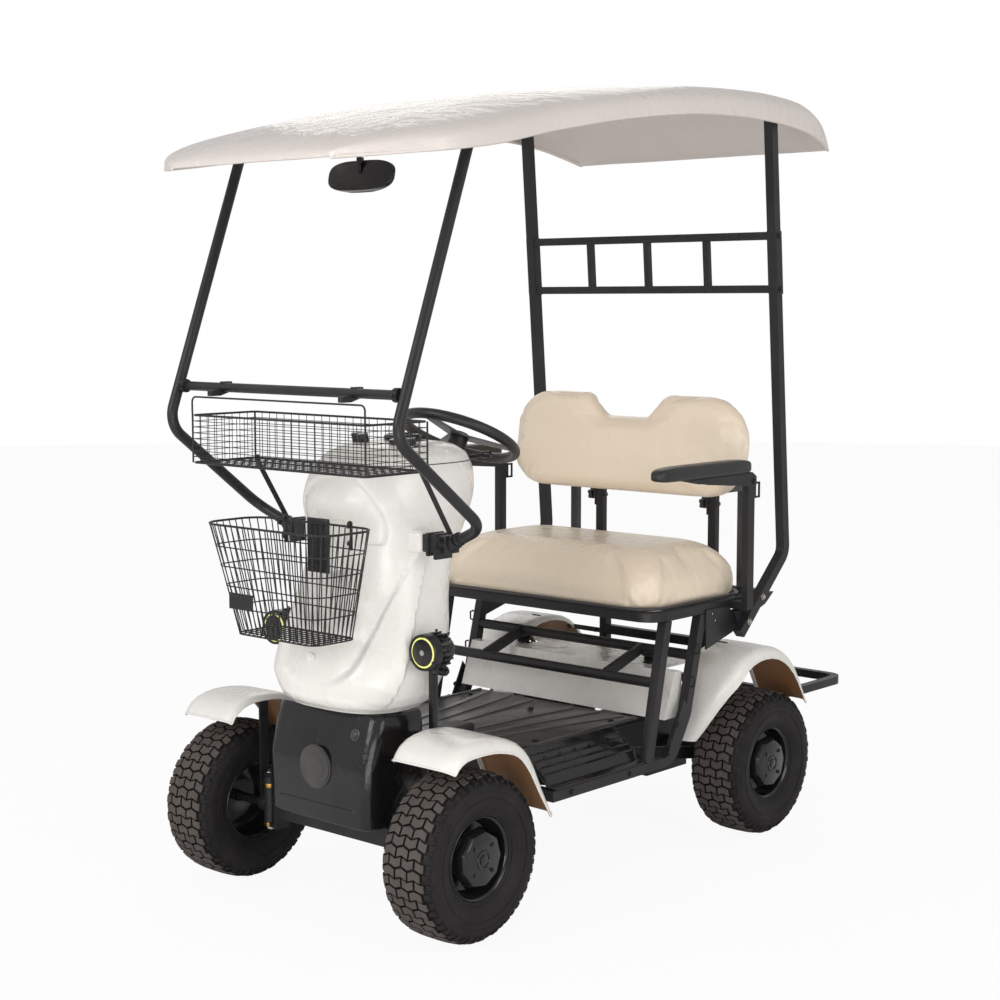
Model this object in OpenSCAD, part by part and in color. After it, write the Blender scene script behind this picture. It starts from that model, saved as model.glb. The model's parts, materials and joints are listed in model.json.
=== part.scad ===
// Off-road golf cart for one rider: open steel frame, bench seat, sun roof.
// Millimetres. Front is -Y, the vehicle's left is +X, up is +Z.
// The origin is on the ground in the middle of the cart's box.

/* [Wheels] */
// Distance from the front axle to the rear axle
wheelbase = 1120; // [1080:5:1160]
// Distance between the middles of two wheels on an axle
track = 720; // [700:2:740]
// Diameter over the tread of each tyre
tyre_d = 375; // [360:1:385]
// Width of each tyre
tyre_w = 150; // [140:1:155]
// Diameter of the rim where the tyre's bead sits
rim_d = 186; // [170:1:200]
// Width of the rim between its flanges
rim_w = 112; // [100:1:118]
// Diameter of the wheel's axle stub
stub_d = 22; // [18:1:26]

/* [Steering] */
// Distance between the two kingpins
kingpin_track = 510; // [500:1:520]
// Diameter of a kingpin
kingpin_d = 14; // [12:1:16]
// Length of the steering arm behind the kingpin
steer_arm = 95; // [85:1:105]
// Outer diameter of the steering wheel
wheel_d = 304; // [296:1:316]
// Diameter of the steering wheel's grip
grip_d = 27; // [24:1:32]
// Tilt of the steering wheel from level
wheel_tilt = 26; // [20:1:32]
// Height of the steering wheel's middle
wheel_z = 1056; // [1046:1:1070]
// Place of the steering wheel's middle along the cart
wheel_y = -305; // [-315:1:-295]

/* [Frame] */
// Side of the square frame tube
tube = 25; // [22:1:28]
// Half of the distance between the side frames
frame_x = 360; // [352:1:366]
// Height of the lower side rail's middle
rail_z = 254; // [248:1:262]
// Half of the distance between the centre rails
spine_x = 120; // [105:1:132]
// Width of a centre rail
spine_w = 40; // [34:1:44]
// Height of a centre rail
spine_h = 74; // [68:1:80]
// Height of the seat rail's middle
seat_rail_z = 615; // [605:1:625]
// Front end of the lower side rails
rail_front_y = -397; // [-400:1:-385]
// Half of the distance between the rear posts
post_x = 400; // [394:1:406]
// Height of the middle of the ladder's lower rail
ladder_low_z = 1408; // [1380:1:1430]
// Height of the middle of the ladder's upper rail
ladder_top_z = 1542; // [1520:1:1560]
// Diameter of the front hoop's tube
hoop_d = 25; // [22:1:30]
// Half of the distance between the hoops' straight parts
hoop_x = 363; // [355:1:368]

/* [Roof] */
// Half of the roof's width
roof_x = 440; // [425:1:445]
// Front edge of the roof
roof_front_y = -960; // [-965:1:-940]
// Rear edge of the roof
roof_rear_y = 668; // [650:1:690]
// Thickness of the roof's shell
roof_t = 6; // [5:0.5:8]

/* [Seat] */
// Half of the seat cushion's width
seat_x = 370; // [360:1:375]
// Rear of the seat cushion
seat_rear_y = 412; // [405:1:420]
// Depth of the seat cushion
seat_depth = 450; // [430:1:455]
// Thickness of the seat cushion
seat_t = 138; // [120:1:145]
// Half of the backrest's width
back_x = 384; // [374:1:388]
// Height of the backrest
back_h = 270; // [255:1:285]
// Thickness of the backrest
back_t = 62; // [55:1:70]
// Height of the armrest's pivot
arm_z = 930; // [925:1:940]

/* [Rack] */
// Half of the rear rack's width
rack_x = 320; // [305:1:330]
// Height of the rack's middle
rack_z = 315; // [312:1:320]
// Diameter of a mounting hole in the rack
rack_hole_d = 9; // [7:0.5:10]

/* [Hidden] */
$fn = 48;
fit = 0.3;
bend_steps = 6;
tube_sides = 16;
front_y = -695;
rear_y = front_y + wheelbase;
axle_z = tyre_d / 2;
half_track = track / 2;
kingpin_x = kingpin_track / 2;
rail_top = rail_z + tube / 2;
cross_h = tube;
cross_z = rail_z - tube / 2;
seat_front_y = seat_rear_y - seat_depth;
seat_rail_front = seat_front_y + 18;
spine_z = cross_z + cross_h;
floor_z = spine_z + spine_h;
rear_cross_y = 0;
rear_rail_x = 170;
black = "#202123";
gloss_black = "#101114";
white = "#f2f0ee";
cream = "#ead9bf";

// Vector helpers
function unit(v) = v / norm(v);

// Place children with their Z along z_dir and their X towards x_dir
module aim(origin, z_dir, x_dir) {
  tip = acos(max(-1, min(1, z_dir[2])));
  turn = atan2(z_dir[1], z_dir[0]);
  ex = [cos(tip) * cos(turn), cos(tip) * sin(turn), -sin(tip)];
  ey = [-sin(turn), cos(turn), 0];
  translate(origin)
    rotate([0, tip, turn])
      rotate([0, 0, atan2(x_dir * ey, x_dir * ex)])
        children();
}

// Straight round bar from p to q
module rod(p, q, d) {
  v = q - p;
  side = abs(unit(v)[2]) > 0.99 ? [1, 0, 0] : [0, 0, 1];
  aim(p, unit(v), side) cylinder(d = d, h = norm(v));
}

// Centre line through the points with an arc of radius r at each bend
function bend(a, b, c, r) =
  let (u = unit(a - b), v = unit(c - b), half = acos(u * v) / 2,
       middle = b + unit(u + v) * r / sin(half),
       from = unit(b + u * r / tan(half) - middle),
       to = unit(b + v * r / tan(half) - middle),
       turn = 180 - 2 * half, side = unit(to - from * (to * from)))
    [for (i = [0:bend_steps]) middle + r * (from * cos(turn * i / bend_steps) + side * sin(turn * i / bend_steps))];
function centre_line(points, r) = [
  for (i = [0:len(points) - 1])
    for (p = (i == 0 || i == len(points) - 1) ? [points[i]] : bend(points[i - 1], points[i], points[i + 1], r))
      p];
function heading(path, i) =
  unit(path[min(i + 1, len(path) - 1)] - path[max(i - 1, 0)]);

// Round tube bent at radius r through points in space
module bent_tube(points, d, r) {
  path = centre_line(points, r);
  loft([for (i = [0:len(path) - 1])
    let (ahead = heading(path, i), across = unit([1, 0, 0] - ahead * ahead[0]), up = cross(ahead, across))
      [for (k = [0:tube_sides - 1])
        path[i] + d / 2 * (across * cos(360 * k / tube_sides) + up * sin(360 * k / tube_sides))]]);
}

// Square tube bent at radius r through points [y, z], centred on x
module flat_tube(points, w, r, x) {
  path = centre_line(points, r);
  edge = [for (i = [0:len(path) - 1]) let (ahead = heading(path, i)) [-ahead[1], ahead[0]] * w / 2];
  translate([x - w / 2, 0, 0])
    rotate([90, 0, 90])
      linear_extrude(w)
        polygon(concat([for (i = [0:len(path) - 1]) path[i] + edge[i]],
                       [for (i = [len(path) - 1:-1:0]) path[i] - edge[i]]));
}

// Plate of thickness t from x, outlined by points [y, z]
module side_plate(x, t, points) {
  translate([x, 0, 0]) rotate([90, 0, 90]) linear_extrude(t) polygon(points);
}

// Closed skin through rings of equal length, in either turning direction
module loft(rings) {
  n = len(rings[0]);
  last = len(rings) - 1;
  points = [for (ring = rings) for (p = ring) p];
  sides = [for (i = [0:last - 1]) for (j = [0:n - 1])
    [i * n + j, i * n + (j + 1) % n, (i + 1) * n + (j + 1) % n, (i + 1) * n + j]];
  first = rings[0];
  spin = cross(first[1] - first[0], first[2] - first[1]) * (rings[1][0] - first[0]);
  faces = concat([[for (j = [n - 1:-1:0]) j]], sides, [[for (j = [0:n - 1]) last * n + j]]);
  polyhedron(
    points = points,
    faces = spin > 0 ? [for (f = faces) [for (k = [len(f) - 1:-1:0]) f[k]]] : faces,
    convexity = 6);
}

// Rectangle with round corners, centred
// Rectangle with arc corners made without a hull, centred
module arc_rect(w, h, r) {
  square([w - 2 * r, h], center = true);
  square([w, h - 2 * r], center = true);
  for (x = [-1, 1], y = [-1, 1])
    translate([x * (w / 2 - r), y * (h / 2 - r)]) circle(r = r);
}

module mirrored(side) {
  if (side > 0)
    children();
  else
    mirror([1, 0, 0]) children();
}

// Side frame: the rear leg runs on into the lower rail, the front leg stands on it
leg_top_z = seat_rail_z - tube / 2 - fit;
rear_leg_top = [190, leg_top_z + 12];
rear_leg_knee = [125, 360];
rail_rear = [62, rail_z];
front_leg_top = [seat_rail_front + 64, leg_top_z + 12];
front_leg_foot = [seat_rail_front - 12, rail_z];

module side_frame(side) {
  color(black) mirrored(side) {
    difference() {
      union() {
        flat_tube([rear_leg_top, rear_leg_knee, rail_rear, [rail_front_y, rail_z]], tube, 60, frame_x);
        flat_tube([front_leg_foot, front_leg_top], tube, 60, frame_x);
      }
      translate([frame_x - 50, -100, leg_top_z]) cube([100, 400, 60]);
    }
    side_plate(frame_x + tube / 2 - 4, 4,
      [[64, rail_top + 10], [122, 380], [108, 400], [44, rail_top + 6]]);
  }
}

// Centre rails with cross members to the side rails, and rails to the rear
rear_rail_w = 25;
rear_rail_h = 30;
rear_rail_z = rack_z - rear_rail_h / 2;
rack_front_y = 660;
rear_rail_end = rack_front_y - fit;
upright_y = 470;
panel_front_y = -785;
panel_wall = 4;
spine_front_y = panel_front_y + panel_wall + fit;

module main_frame() {
  inner = frame_x - tube / 2 - fit;
  color(black) {
    for (x = [-spine_x, spine_x])
      translate([x - spine_w / 2, spine_front_y, spine_z])
        cube([spine_w, rear_cross_y - spine_front_y + tube, spine_h]);
    for (y = [rail_front_y + 2, rear_cross_y])
      translate([-inner, y, cross_z]) cube([2 * inner, tube, cross_h]);
    for (x = [-rear_rail_x, rear_rail_x]) {
      translate([x - rear_rail_w / 2, rear_cross_y, rear_rail_z])
        cube([rear_rail_w, rear_rail_end - rear_cross_y, rear_rail_h]);
      translate([x - rear_rail_w / 2, rear_cross_y, cross_z])
        cube([rear_rail_w, tube, rear_rail_z + rear_rail_h - cross_z]);
      translate([x - rear_rail_w / 2, upright_y, rear_rail_z])
        cube([rear_rail_w, tube, leg_top_z - rear_rail_z]);
    }
    translate([-rear_rail_x, upright_y, 452]) cube([2 * rear_rail_x, tube, tube]);
  }
}

// Seat rail: a loop of square tube that carries the cushion
seat_rail_rear = 500;

module seat_rail() {
  color(black)
    translate([0, (seat_rail_front + seat_rail_rear) / 2, seat_rail_z - tube / 2])
      linear_extrude(tube)
        difference() {
          arc_rect(2 * frame_x + tube, seat_rail_rear - seat_rail_front, 60);
          arc_rect(2 * frame_x - tube, seat_rail_rear - seat_rail_front - 2 * tube, 60 - tube);
        }
}

// Round tubes between the two side frames, with the inner diagonals
cross_d = 26;
knee_bar = [seat_rail_front + 32, 452];
shock_bar = [162, 500];

module cross_tubes() {
  inner = frame_x - tube / 2 - fit;
  color(black) {
    for (bar = [knee_bar, shock_bar])
      rod([-inner, bar[0], bar[1]], [inner, bar[0], bar[1]], cross_d);
    for (x = [-200, 200])
      side_plate(x - 6, 12, [knee_bar + [-4, -12], knee_bar + [-4, 16], shock_bar + [-4, 13], shock_bar + [4, -11]]);
  }
}

// Rear post: leans back, then bends forward under the seat
post_top = [414, 1800];
post_bend = [500, 730];
post_foot = [300, 541];
post_inner = post_x - tube / 2;
post_slope = (post_bend - post_top) / (post_top[1] - post_bend[1]);

module post(side) {
  color(black) mirrored(side) {
    difference() {
      flat_tube([post_top - post_slope * 120, post_bend, post_foot], tube, 45, post_x);
      translate([0, 300, roof_under(post_x + tube / 2, post_top[0]) - fit]) cube([600, 300, 300]);
    }
    side_plate(frame_x + tube / 2 + fit, post_inner - frame_x - tube / 2 - fit + 1,
      [[318, 560], [440, 600], [478, seat_rail_z + tube / 2],
       [440, seat_rail_z + tube / 2], [300, 596]]);
    // Gusset from the rear leg to the post's foot
    difference() {
      side_plate(frame_x + tube / 2 + fit, 4,
        [[192, 512], [306, 541], [400, 584], [400, 600], [298, 600], [298, 612], [192, 612]]);
      for (hole = [[222, 599], [234, 581]])
        translate([frame_x, hole[0], hole[1]]) rotate([0, 90, 0]) cylinder(d = 7, h = 30);
    }
    // Sleeve that holds the ladder
    side_plate(post_x - tube / 2 - 2, tube + 4,
      [for (z = [ladder_low_z - 12, ladder_top_z + 12]) post_at(z) + [14, 0],
       for (z = [ladder_top_z + 12, ladder_low_z - 12]) post_at(z) + [-11, 0]]);
  }
}
function post_at(z) = [post_top[0] + post_slope[0] * (post_top[1] - z), z];

// Ladder of short uprights between the rear posts
module ladder() {
  inner = post_inner - 2 - fit;
  low_y = post_at(ladder_low_z)[0];
  top_y = post_at(ladder_top_z)[0];
  cell = 2 * inner / 4;
  color(black) {
    translate([-inner, top_y - 10, ladder_top_z - 10]) cube([2 * inner, 20, 20]);
    translate([-inner, low_y - 10, ladder_low_z - 10]) cube([2 * inner, 20, 20]);
    for (x = [-cell, 0, cell])
      aim([x, low_y, ladder_low_z], unit([0, top_y - low_y, ladder_top_z - ladder_low_z]), [1, 0, 0])
        linear_extrude(ladder_top_z - ladder_low_z) square([16, 16], center = true);
  }
}
// Front hoop: roof support that sweeps forward and back to the cowl
hoop_top = [hoop_x, -677, 1690];
hoop_upper = [hoop_x, -893, 1098];
hoop_lower = [hoop_x, -628, 892];
hoop_foot = [262, -610, 848];
bar_z = 1185;

clamp_low = 822;
clamp_top = 870;

module hoop(side) {
  above = hoop_top + unit(hoop_top - hoop_upper) * 150;
  color(black) mirrored(side)
    difference() {
      union() {
        bent_tube([above, hoop_upper, hoop_lower, hoop_foot], hoop_d, 60);
        // Clamp block that bolts to the cowl's side pad
        translate([cowl_pad_x + fit, -640, clamp_low])
          cube([274 - cowl_pad_x - fit, 54, clamp_top - clamp_low]);
      }
      translate([0, -900, roof_under(hoop_x + 36, -692) - fit]) cube([600, 600, 300]);
    }
}

module hoop_crossbar() {
  y = -861;
  reach = hoop_x - hoop_d / 2 - fit;
  color(black) {
    rod([-reach, y, bar_z], [reach, y, bar_z], 22);
    for (x = [-152, 148])
      side_plate(x, 4, [[y - 6, bar_z], [y + 6, bar_z], [tray_hang[0] + 6, tray_hang[1] + 3 + fit],
                        [tray_hang[0] - 6, tray_hang[1] + 3 + fit]]);
  }
}

// Roof shell: sections along the cart, each a crowned arch with a rim
// Columns: place along Y, height of the rim's lower edge, height of the crown
roof_rows = [
  [roof_front_y, 1662, 1704], [-900, 1668, 1730], [-790, 1680, 1765], [-650, 1700, 1800],
  [-480, 1738, 1838], [-300, 1770, 1866], [-120, 1796, 1890], [60, 1815, 1908],
  [240, 1822, 1920], [420, 1815, 1928], [540, 1800, 1924], [620, 1780, 1890],
  [roof_rear_y, 1765, 1800]
];
roof_steps = 20;

function roof_half(y) =
  let (nose = max(0, -640 - y) / 320, tail = max(0, y - 520) / 150)
    roof_x - 190 * pow(nose, 4) - 26 * tail * tail;
function roof_arch(row, drop) =
  let (half = roof_half(row[0]) - drop, rise = row[2] - row[1] - drop)
    [for (i = [0:roof_steps])
      let (a = 180 * i / roof_steps, flat = pow(sin(a), 0.42))
        [half * cos(a), row[0], row[1] + rise * flat]];

// Height of the roof's inner face over a place
roof_rims = [for (row = roof_rows) [row[0], row[1]]];
roof_crowns = [for (row = roof_rows) [row[0], row[2]]];
roof_lift = 2;
function roof_under(x, y) =
  lookup(x, [for (p = roof_arch([y, lookup(y, roof_rims), lookup(y, roof_crowns)], roof_t)) [p[0], p[2]]]) - roof_lift;

module roof() {
  color(white)
    difference() {
      loft([for (row = roof_rows) roof_arch(row, 0)]);
      translate([0, 0, -roof_lift])
        loft([for (row = roof_rows)
          roof_arch([max(roof_front_y + roof_t, min(roof_rear_y - roof_t, row[0])), row[1], row[2]], roof_t)]);
    }
}

module mirror_unit() {
  color(gloss_black) {
    translate([0, -625, 1655]) rotate([78, 0, 0])
      linear_extrude(16, center = true) arc_rect(205, 68, 30);
    translate([0, -632, 1650]) cylinder(d = 9, h = roof_under(4.5, -637) - fit - 1650);
  }
}

// Shallow wire tray that hangs in front of the hoops
tray_front = -895;
tray_hang = [tray_front + 2, 1163];
tray_back = -705;
tray_low = 1012;
tray_top = 1124;
tray_x = 280;
wire = 6;

module wire_tray() {
  color(black) {
    difference() {
      translate([-tray_x, tray_front, tray_low]) cube([2 * tray_x, tray_back - tray_front, tray_top - tray_low]);
      translate([2 - tray_x, tray_front + 2, tray_low + 2])
        cube([2 * tray_x - 4, tray_back - tray_front - 4, tray_top - tray_low]);
    }
    for (x = [3 - tray_x, tray_x - 3])
      rod([x, tray_hang[0], tray_top - 10], [x, tray_hang[0], tray_hang[1]], wire);
    rod([-tray_x, tray_hang[0], tray_hang[1]], [tray_x, tray_hang[0], tray_hang[1]], wire);
  }
}

module tray_struts() {
  color(black)
    for (x = [-268, 264])
      side_plate(x, 4, [[-722, tray_low - fit], [-706, tray_low - fit],
                        [-616, clamp_top + fit], [-632, clamp_top + fit]]);
}

// Wire basket on the cowl: wider at the rim than at the floor
basket_back = -772;
basket_floor = [130, -905, 640];
basket_rim = [200, -945, 890];

function basket_ring(b, inset) = [
  [-b[0] + inset, b[1] + inset, b[2]], [b[0] - inset, b[1] + inset, b[2]],
  [b[0] - inset, basket_back - inset, b[2]], [-b[0] + inset, basket_back - inset, b[2]]];

module wire_basket() {
  color(black) {
    difference() {
      loft([basket_ring(basket_floor, 0), basket_ring(basket_rim, 0)]);
      translate([0, 0, 3]) loft([basket_ring(basket_floor, 3), basket_ring(basket_rim, 3)]);
    }
    translate([-35, basket_back - 1, 776]) cube([70, 7, 122]);
  }
}

// Cowl: white column that widens to a rounded head
// Columns: height, middle along Y, half width, half depth
cowl_rows = [
  [465, -655, 172, 132], [500, -650, 188, 144], [560, -632, 198, 150], [640, -610, 188, 140],
  [720, -590, 172, 132], [800, -575, 165, 142], [860, -560, 168, 165], [930, -548, 170, 188],
  [990, -535, 165, 180], [1035, -520, 140, 150], [1058, -510, 96, 100]
];
cowl_sides = 28;

function cowl_ring(row) =
  [for (i = [0:cowl_sides - 1])
    let (a = 360 * i / cowl_sides, c = cos(a), s = sin(a))
      [row[2] * sign(c) * pow(abs(c), 0.75), row[1] + row[3] * sign(s) * pow(abs(s), 0.75), row[0]]];

cowl_pad_x = 192;
collar = 72;

module cowl() {
  color(white) {
    loft([for (row = cowl_rows) cowl_ring(row)]);
    for (side = [-1, 1]) mirrored(side)
      translate([100, -640, clamp_low]) cube([cowl_pad_x - 100, 54, clamp_top - clamp_low]);
    translate([-35, basket_back + 6 + fit, 780]) cube([70, 100, 114]);
    translate([0, wheel_y, wheel_z])
      rotate([-wheel_tilt, 0, 0]) translate([0, 0, -collar - 80]) cylinder(d = 64, h = 80);
  }
}

module dash() {
  color(gloss_black)
    translate([0, -500, 1058 + fit]) cylinder(d = 90, h = 14);
}

panel_x = 170;

panel_corner = 30;

module front_panel() {
  deep = 190;
  color(gloss_black)
    difference() {
      translate([0, panel_front_y + deep / 2, 214]) linear_extrude(465 - fit - 214) {
        arc_rect(2 * panel_x, deep, panel_corner);
        translate([-panel_x, 0]) square([2 * panel_x, deep / 2]);
      }
      translate([0, panel_front_y + panel_wall + deep / 2, 210]) linear_extrude(465 - fit - 210 - panel_wall) {
        arc_rect(2 * (panel_x - panel_wall), deep, panel_corner - panel_wall);
        translate([panel_wall - panel_x, 0]) square([2 * (panel_x - panel_wall), deep / 2]);
      }
    }
}

lamp_x = 242;

module headlamps() {
  color(gloss_black)
    for (side = [-1, 1]) mirrored(side) {
      translate([lamp_x, -690, 613]) rotate([-90, 0, 0]) cylinder(d = 84, h = 84);
      translate([206, -633, 400]) cube([16, 16, 190]);
      translate([panel_x + fit, -633, 400]) cube([50, 16, 16]);
    }
}

module floor_pan() {
  color("#38393b")
    translate([0, 0, floor_z + fit])
      linear_extrude(6)
        polygon([[-160, -560], [160, -560], [160, -400], [264, -330], [264, 63],
                 [-264, 63], [-264, -330], [-160, -400]]);
}

module step(side) {
  color(gloss_black) mirrored(side)
    translate([0, -52, 0]) rotate([90, 0, 0]) linear_extrude(336)
      polygon([[264.5, floor_z + 6], [264.5, floor_z], [frame_x - tube / 2, rail_top + fit],
               [frame_x + tube / 2, rail_top + fit], [frame_x + tube / 2, rail_top + 4],
               [frame_x - tube / 2 + 3, rail_top + 5]]);
}

// White moulded cover over the battery, open below and behind
cover_x = 340;
cover_top = 462;
cover_t = 4;
shock_x = 214;
shock_d = 42;
battery_top = cover_top - cover_t - fit;

module rear_cover() {
  color(white)
    difference() {
      side_plate(-cover_x, 2 * cover_x, [[70, 348], [112, cover_top], [330, cover_top], [330, 348]]);
      side_plate(cover_t - cover_x, 2 * (cover_x - cover_t),
        [[74, 340], [115, cover_top - cover_t], [340, cover_top - cover_t], [340, 340]]);
      shock_pair(shock_d + 14);
      // Room for the rear fenders
      for (x = [-cover_x - 1, 279.5])
        translate([x, 140, 300]) cube([cover_x - 278.5, 300, 300]);
    }
}

module battery_box() {
  low = rear_rail_z + rear_rail_h + fit;
  color(black)
    translate([-150, 125, low]) cube([300, 200, battery_top - low]);
}

pedal_x = 90;

module pedals() {
  color(black)
    for (x = [-pedal_x - 30, pedal_x - 30])
      translate([x, -470, floor_z + 6 + 2 * fit]) cube([60, 90, 40]);
}

// Front axle beam with a fork at each end for the kingpin
beam = 44;
fork_low = -52;
fork_top = 68;
ear_t = 10;

module front_axle() {
  color(black) {
    translate([40 - kingpin_x, front_y - beam / 2, axle_z - beam / 2])
      cube([2 * kingpin_x - 80, beam, beam]);
    for (x = [-spine_x, spine_x])
      translate([x - 20, front_y - 30, axle_z + beam / 2 - 1])
        cube([40, 60, spine_z - axle_z - beam / 2 + 1 - fit]);
    for (side = [-1, 1]) mirrored(side) {
      translate([kingpin_x - 42, front_y - beam / 2, axle_z + fork_low])
        cube([8, beam, fork_top - fork_low + ear_t]);
      for (z = [axle_z + fork_low, axle_z + fork_top])
        difference() {
          union() {
            translate([kingpin_x - 42, front_y - 14, z]) cube([42, 28, ear_t]);
            translate([kingpin_x, front_y, z]) cylinder(r = 14, h = ear_t);
          }
          translate([kingpin_x, front_y, z - 1]) cylinder(d = kingpin_d + 0.1, h = ear_t + 2);
        }
    }
  }
}

fender_t = 4;
fender_arm_z = 445.8;
tie_z = 12;
pin_d = 8;

// Knuckle: kingpin sleeve, wheel stub, steering arm and fender arm
module knuckle(side) {
  sleeve_low = fork_low + ear_t + 1;
  color(black) mirrored(side)
    translate([kingpin_x, front_y, axle_z]) {
      translate([0, 0, sleeve_low]) cylinder(d = 32, h = fork_top - sleeve_low - 1);
      translate([0, 0, fork_low - 8]) cylinder(d = kingpin_d, h = fork_top - fork_low + ear_t + 16);
      rotate([0, 90, 0]) cylinder(d = stub_d, h = half_track - kingpin_x + 40);
      rotate([0, 90, 0]) cylinder(d = 40, h = 24);
      translate([-12, 0, -6]) cube([24, steer_arm + 12, 12]);
      translate([0, steer_arm, 0]) cylinder(d = pin_d, h = tie_z + 12);
      translate([18.5, -13, 0]) cube([5, 26, fender_arm_z - axle_z]);
      translate([18.5, -13, fender_arm_z - axle_z - 5]) cube([60, 26, 5]);
    }
}

module tie_rod() {
  y = front_y + steer_arm;
  z = axle_z + 6 + fit;
  color("silver")
    difference() {
      union() {
        rod([-kingpin_x, y, z + 7], [kingpin_x, y, z + 7], 12);
        for (x = [-kingpin_x, kingpin_x])
          translate([x, y, z]) cylinder(d = 24, h = 14);
      }
      for (x = [-kingpin_x, kingpin_x])
        translate([x, y, z - 1]) cylinder(d = pin_d + 0.1, h = 16);
    }
}

hub_h = 44;

module steering_column() {
  color(black)
    translate([0, wheel_y, wheel_z])
      rotate([-wheel_tilt, 0, 0]) translate([0, 0, fit - collar]) cylinder(d = 40, h = collar - hub_h - 2 * fit);
}

module steering_wheel() {
  color(gloss_black)
    translate([0, wheel_y, wheel_z]) rotate([-wheel_tilt, 0, 0]) {
      rotate_extrude() translate([(wheel_d - grip_d) / 2, 0]) circle(d = grip_d);
      for (a = [30, 150, 270])
        rotate([0, 0, a]) translate([0, -16, -3]) cube([(wheel_d - grip_d) / 2, 32, 6]);
      translate([0, 0, -hub_h]) cylinder(d = 52, h = hub_h + 4);
    }
}

// Front fender: an arched shell over the wheel, carried by the knuckle
// Columns: place along Y and height of the outer face
front_fender_rows = [[-468, 250], [-500, 310], [-528, 368], [-560, 410], [-600, 434], [-650, 447],
                     [-700, 452], [-750, 449], [-790, 432], [-812, 404]];

module front_fender(side) {
  pts = front_fender_rows;
  color(white) mirrored(side)
    translate([kingpin_x + 4, 0, 0])
      rotate([90, 0, 90]) linear_extrude(440 - kingpin_x - 4)
        polygon(concat(pts, [for (i = [len(pts) - 1:-1:0]) pts[i] + [(front_y - pts[i][0]) * 0.02, -fender_t]]));
}

rear_fender_rows = [[200, 270], [202, 330], [215, 400], [245, 455], [300, 492], [370, 503],
                    [440, 492], [500, 455], [545, 400], [580, 335]];

module rear_fender(side) {
  pts = rear_fender_rows;
  color(white) mirrored(side) {
    difference() {
      side_plate(280, 160,
        concat(pts, [for (i = [len(pts) - 1:-1:0]) pts[i] + [(rear_y - pts[i][0]) * 0.02, -fender_t]]));
      // The front wall narrows towards its foot
      rotate([90, 0, 0]) linear_extrude(600, center = true)
        polygon([[330, 200], [330, 270], [440, 425], [460, 425], [460, 200]]);
    }
    // Tab that bolts to the frame's upright
    translate([rear_rail_x + rear_rail_w / 2 + fit, 480, 450])
      cube([284 - rear_rail_x - rear_rail_w / 2 - fit, 4, 14]);
  }
}

axle_tube_d = 50;

module drive_axle() {
  color(black) {
    rod([70 - half_track, rear_y, axle_z], [half_track - 70, rear_y, axle_z], axle_tube_d);
    rod([-half_track - 40, rear_y, axle_z], [half_track + 40, rear_y, axle_z], stub_d);
    translate([-90, rear_y - 90, axle_z - 75]) cube([180, 180, 150]);
    // Swing arms from the rear cross member
    for (x = [-252, 240])
      side_plate(x, 12, [[rear_cross_y + tube + fit, 244], [rear_cross_y + tube + fit, 274],
                         [rear_y, axle_z + 16], [rear_y, axle_z - 16]]);
  }
}

module shock_pair(d) {
  axle = [rear_y, axle_z];
  lie = unit(axle - shock_bar);
  top = shock_bar + lie * (cross_d / 2 + fit);
  foot = axle - lie * (axle_tube_d / 2 + fit);
  for (x = [-shock_x, shock_x])
    rod([x, top[0], top[1]], [x, foot[0], foot[1]], d);
}

module shocks() {
  color(black) shock_pair(shock_d);
}

module rear_rack() {
  color(black)
    translate([0, 0, rack_z]) {
      difference() {
        union() {
          translate([0, 810, -11]) linear_extrude(22)
            difference() {
              arc_rect(2 * rack_x, 300, 50);
              arc_rect(2 * rack_x - 44, 256, 30);
            }
        }
        for (x = [-240, 240], y = [671, 949])
          translate([x, y, -20]) cylinder(d = rack_hole_d, h = 40);
      }
    }
}

module seat_cushion() {
  z = seat_rail_z + tube / 2 + fit;
  color(cream)
    translate([0, seat_front_y + seat_depth / 2, z + seat_t / 2])
      intersection() {
        linear_extrude(seat_t, center = true) arc_rect(2 * seat_x, seat_depth, 90);
        rotate([90, 0, 0]) linear_extrude(seat_depth, center = true) arc_rect(2 * seat_x, seat_t, 40);
        rotate([90, 0, 90]) linear_extrude(2 * seat_x, center = true) arc_rect(seat_depth, seat_t, 40);
      }
}

module backrest() {
  color(cream)
    translate(back_foot) rotate([-back_lean, 0, 0])
      rotate([90, 0, 180]) linear_extrude(back_t)
        difference() {
          translate([0, back_h / 2]) arc_rect(2 * back_x, back_h, 95);
          polygon([[-135, back_h + 1], [-65, back_h - 65], [65, back_h - 65], [135, back_h + 1]]);
        }
}

back_foot = [0, 300, 870];
back_lean = 8;
function back_face(z) = back_foot[1] + back_t / cos(back_lean) + (z - back_foot[2]) * tan(back_lean) + fit;

module back_supports() {
  color(black)
    for (x = [-202, 178]) {
      translate([x, seat_rail_rear - 24, seat_rail_z + tube / 2 + fit]) cube([24, 22, 340]);
      side_plate(x, 24, [[back_face(880), 880], [seat_rail_rear - 23, 880],
                         [seat_rail_rear - 23, 960], [back_face(960), 960]]);
    }
}

// Armrest post with the bore for the armrest's bolt
arm_x = 415;
arm_y = 315;
arm_pin_d = 10;
pad_w = 50;

module arm_posts() {
  color(black)
    for (side = [-1, 1]) mirrored(side)
      difference() {
        union() {
          translate([arm_x - 9, arm_y - 14, seat_rail_z - 12]) cube([18, 28, arm_z + 16 - seat_rail_z + 12]);
          translate([frame_x + tube / 2 + fit, arm_y - 14, seat_rail_z - 12]) cube([40, 28, 20]);
        }
        translate([arm_x - 20, arm_y, arm_z]) rotate([0, 90, 0]) cylinder(d = arm_pin_d + 0.1, h = 40);
      }
}

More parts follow.
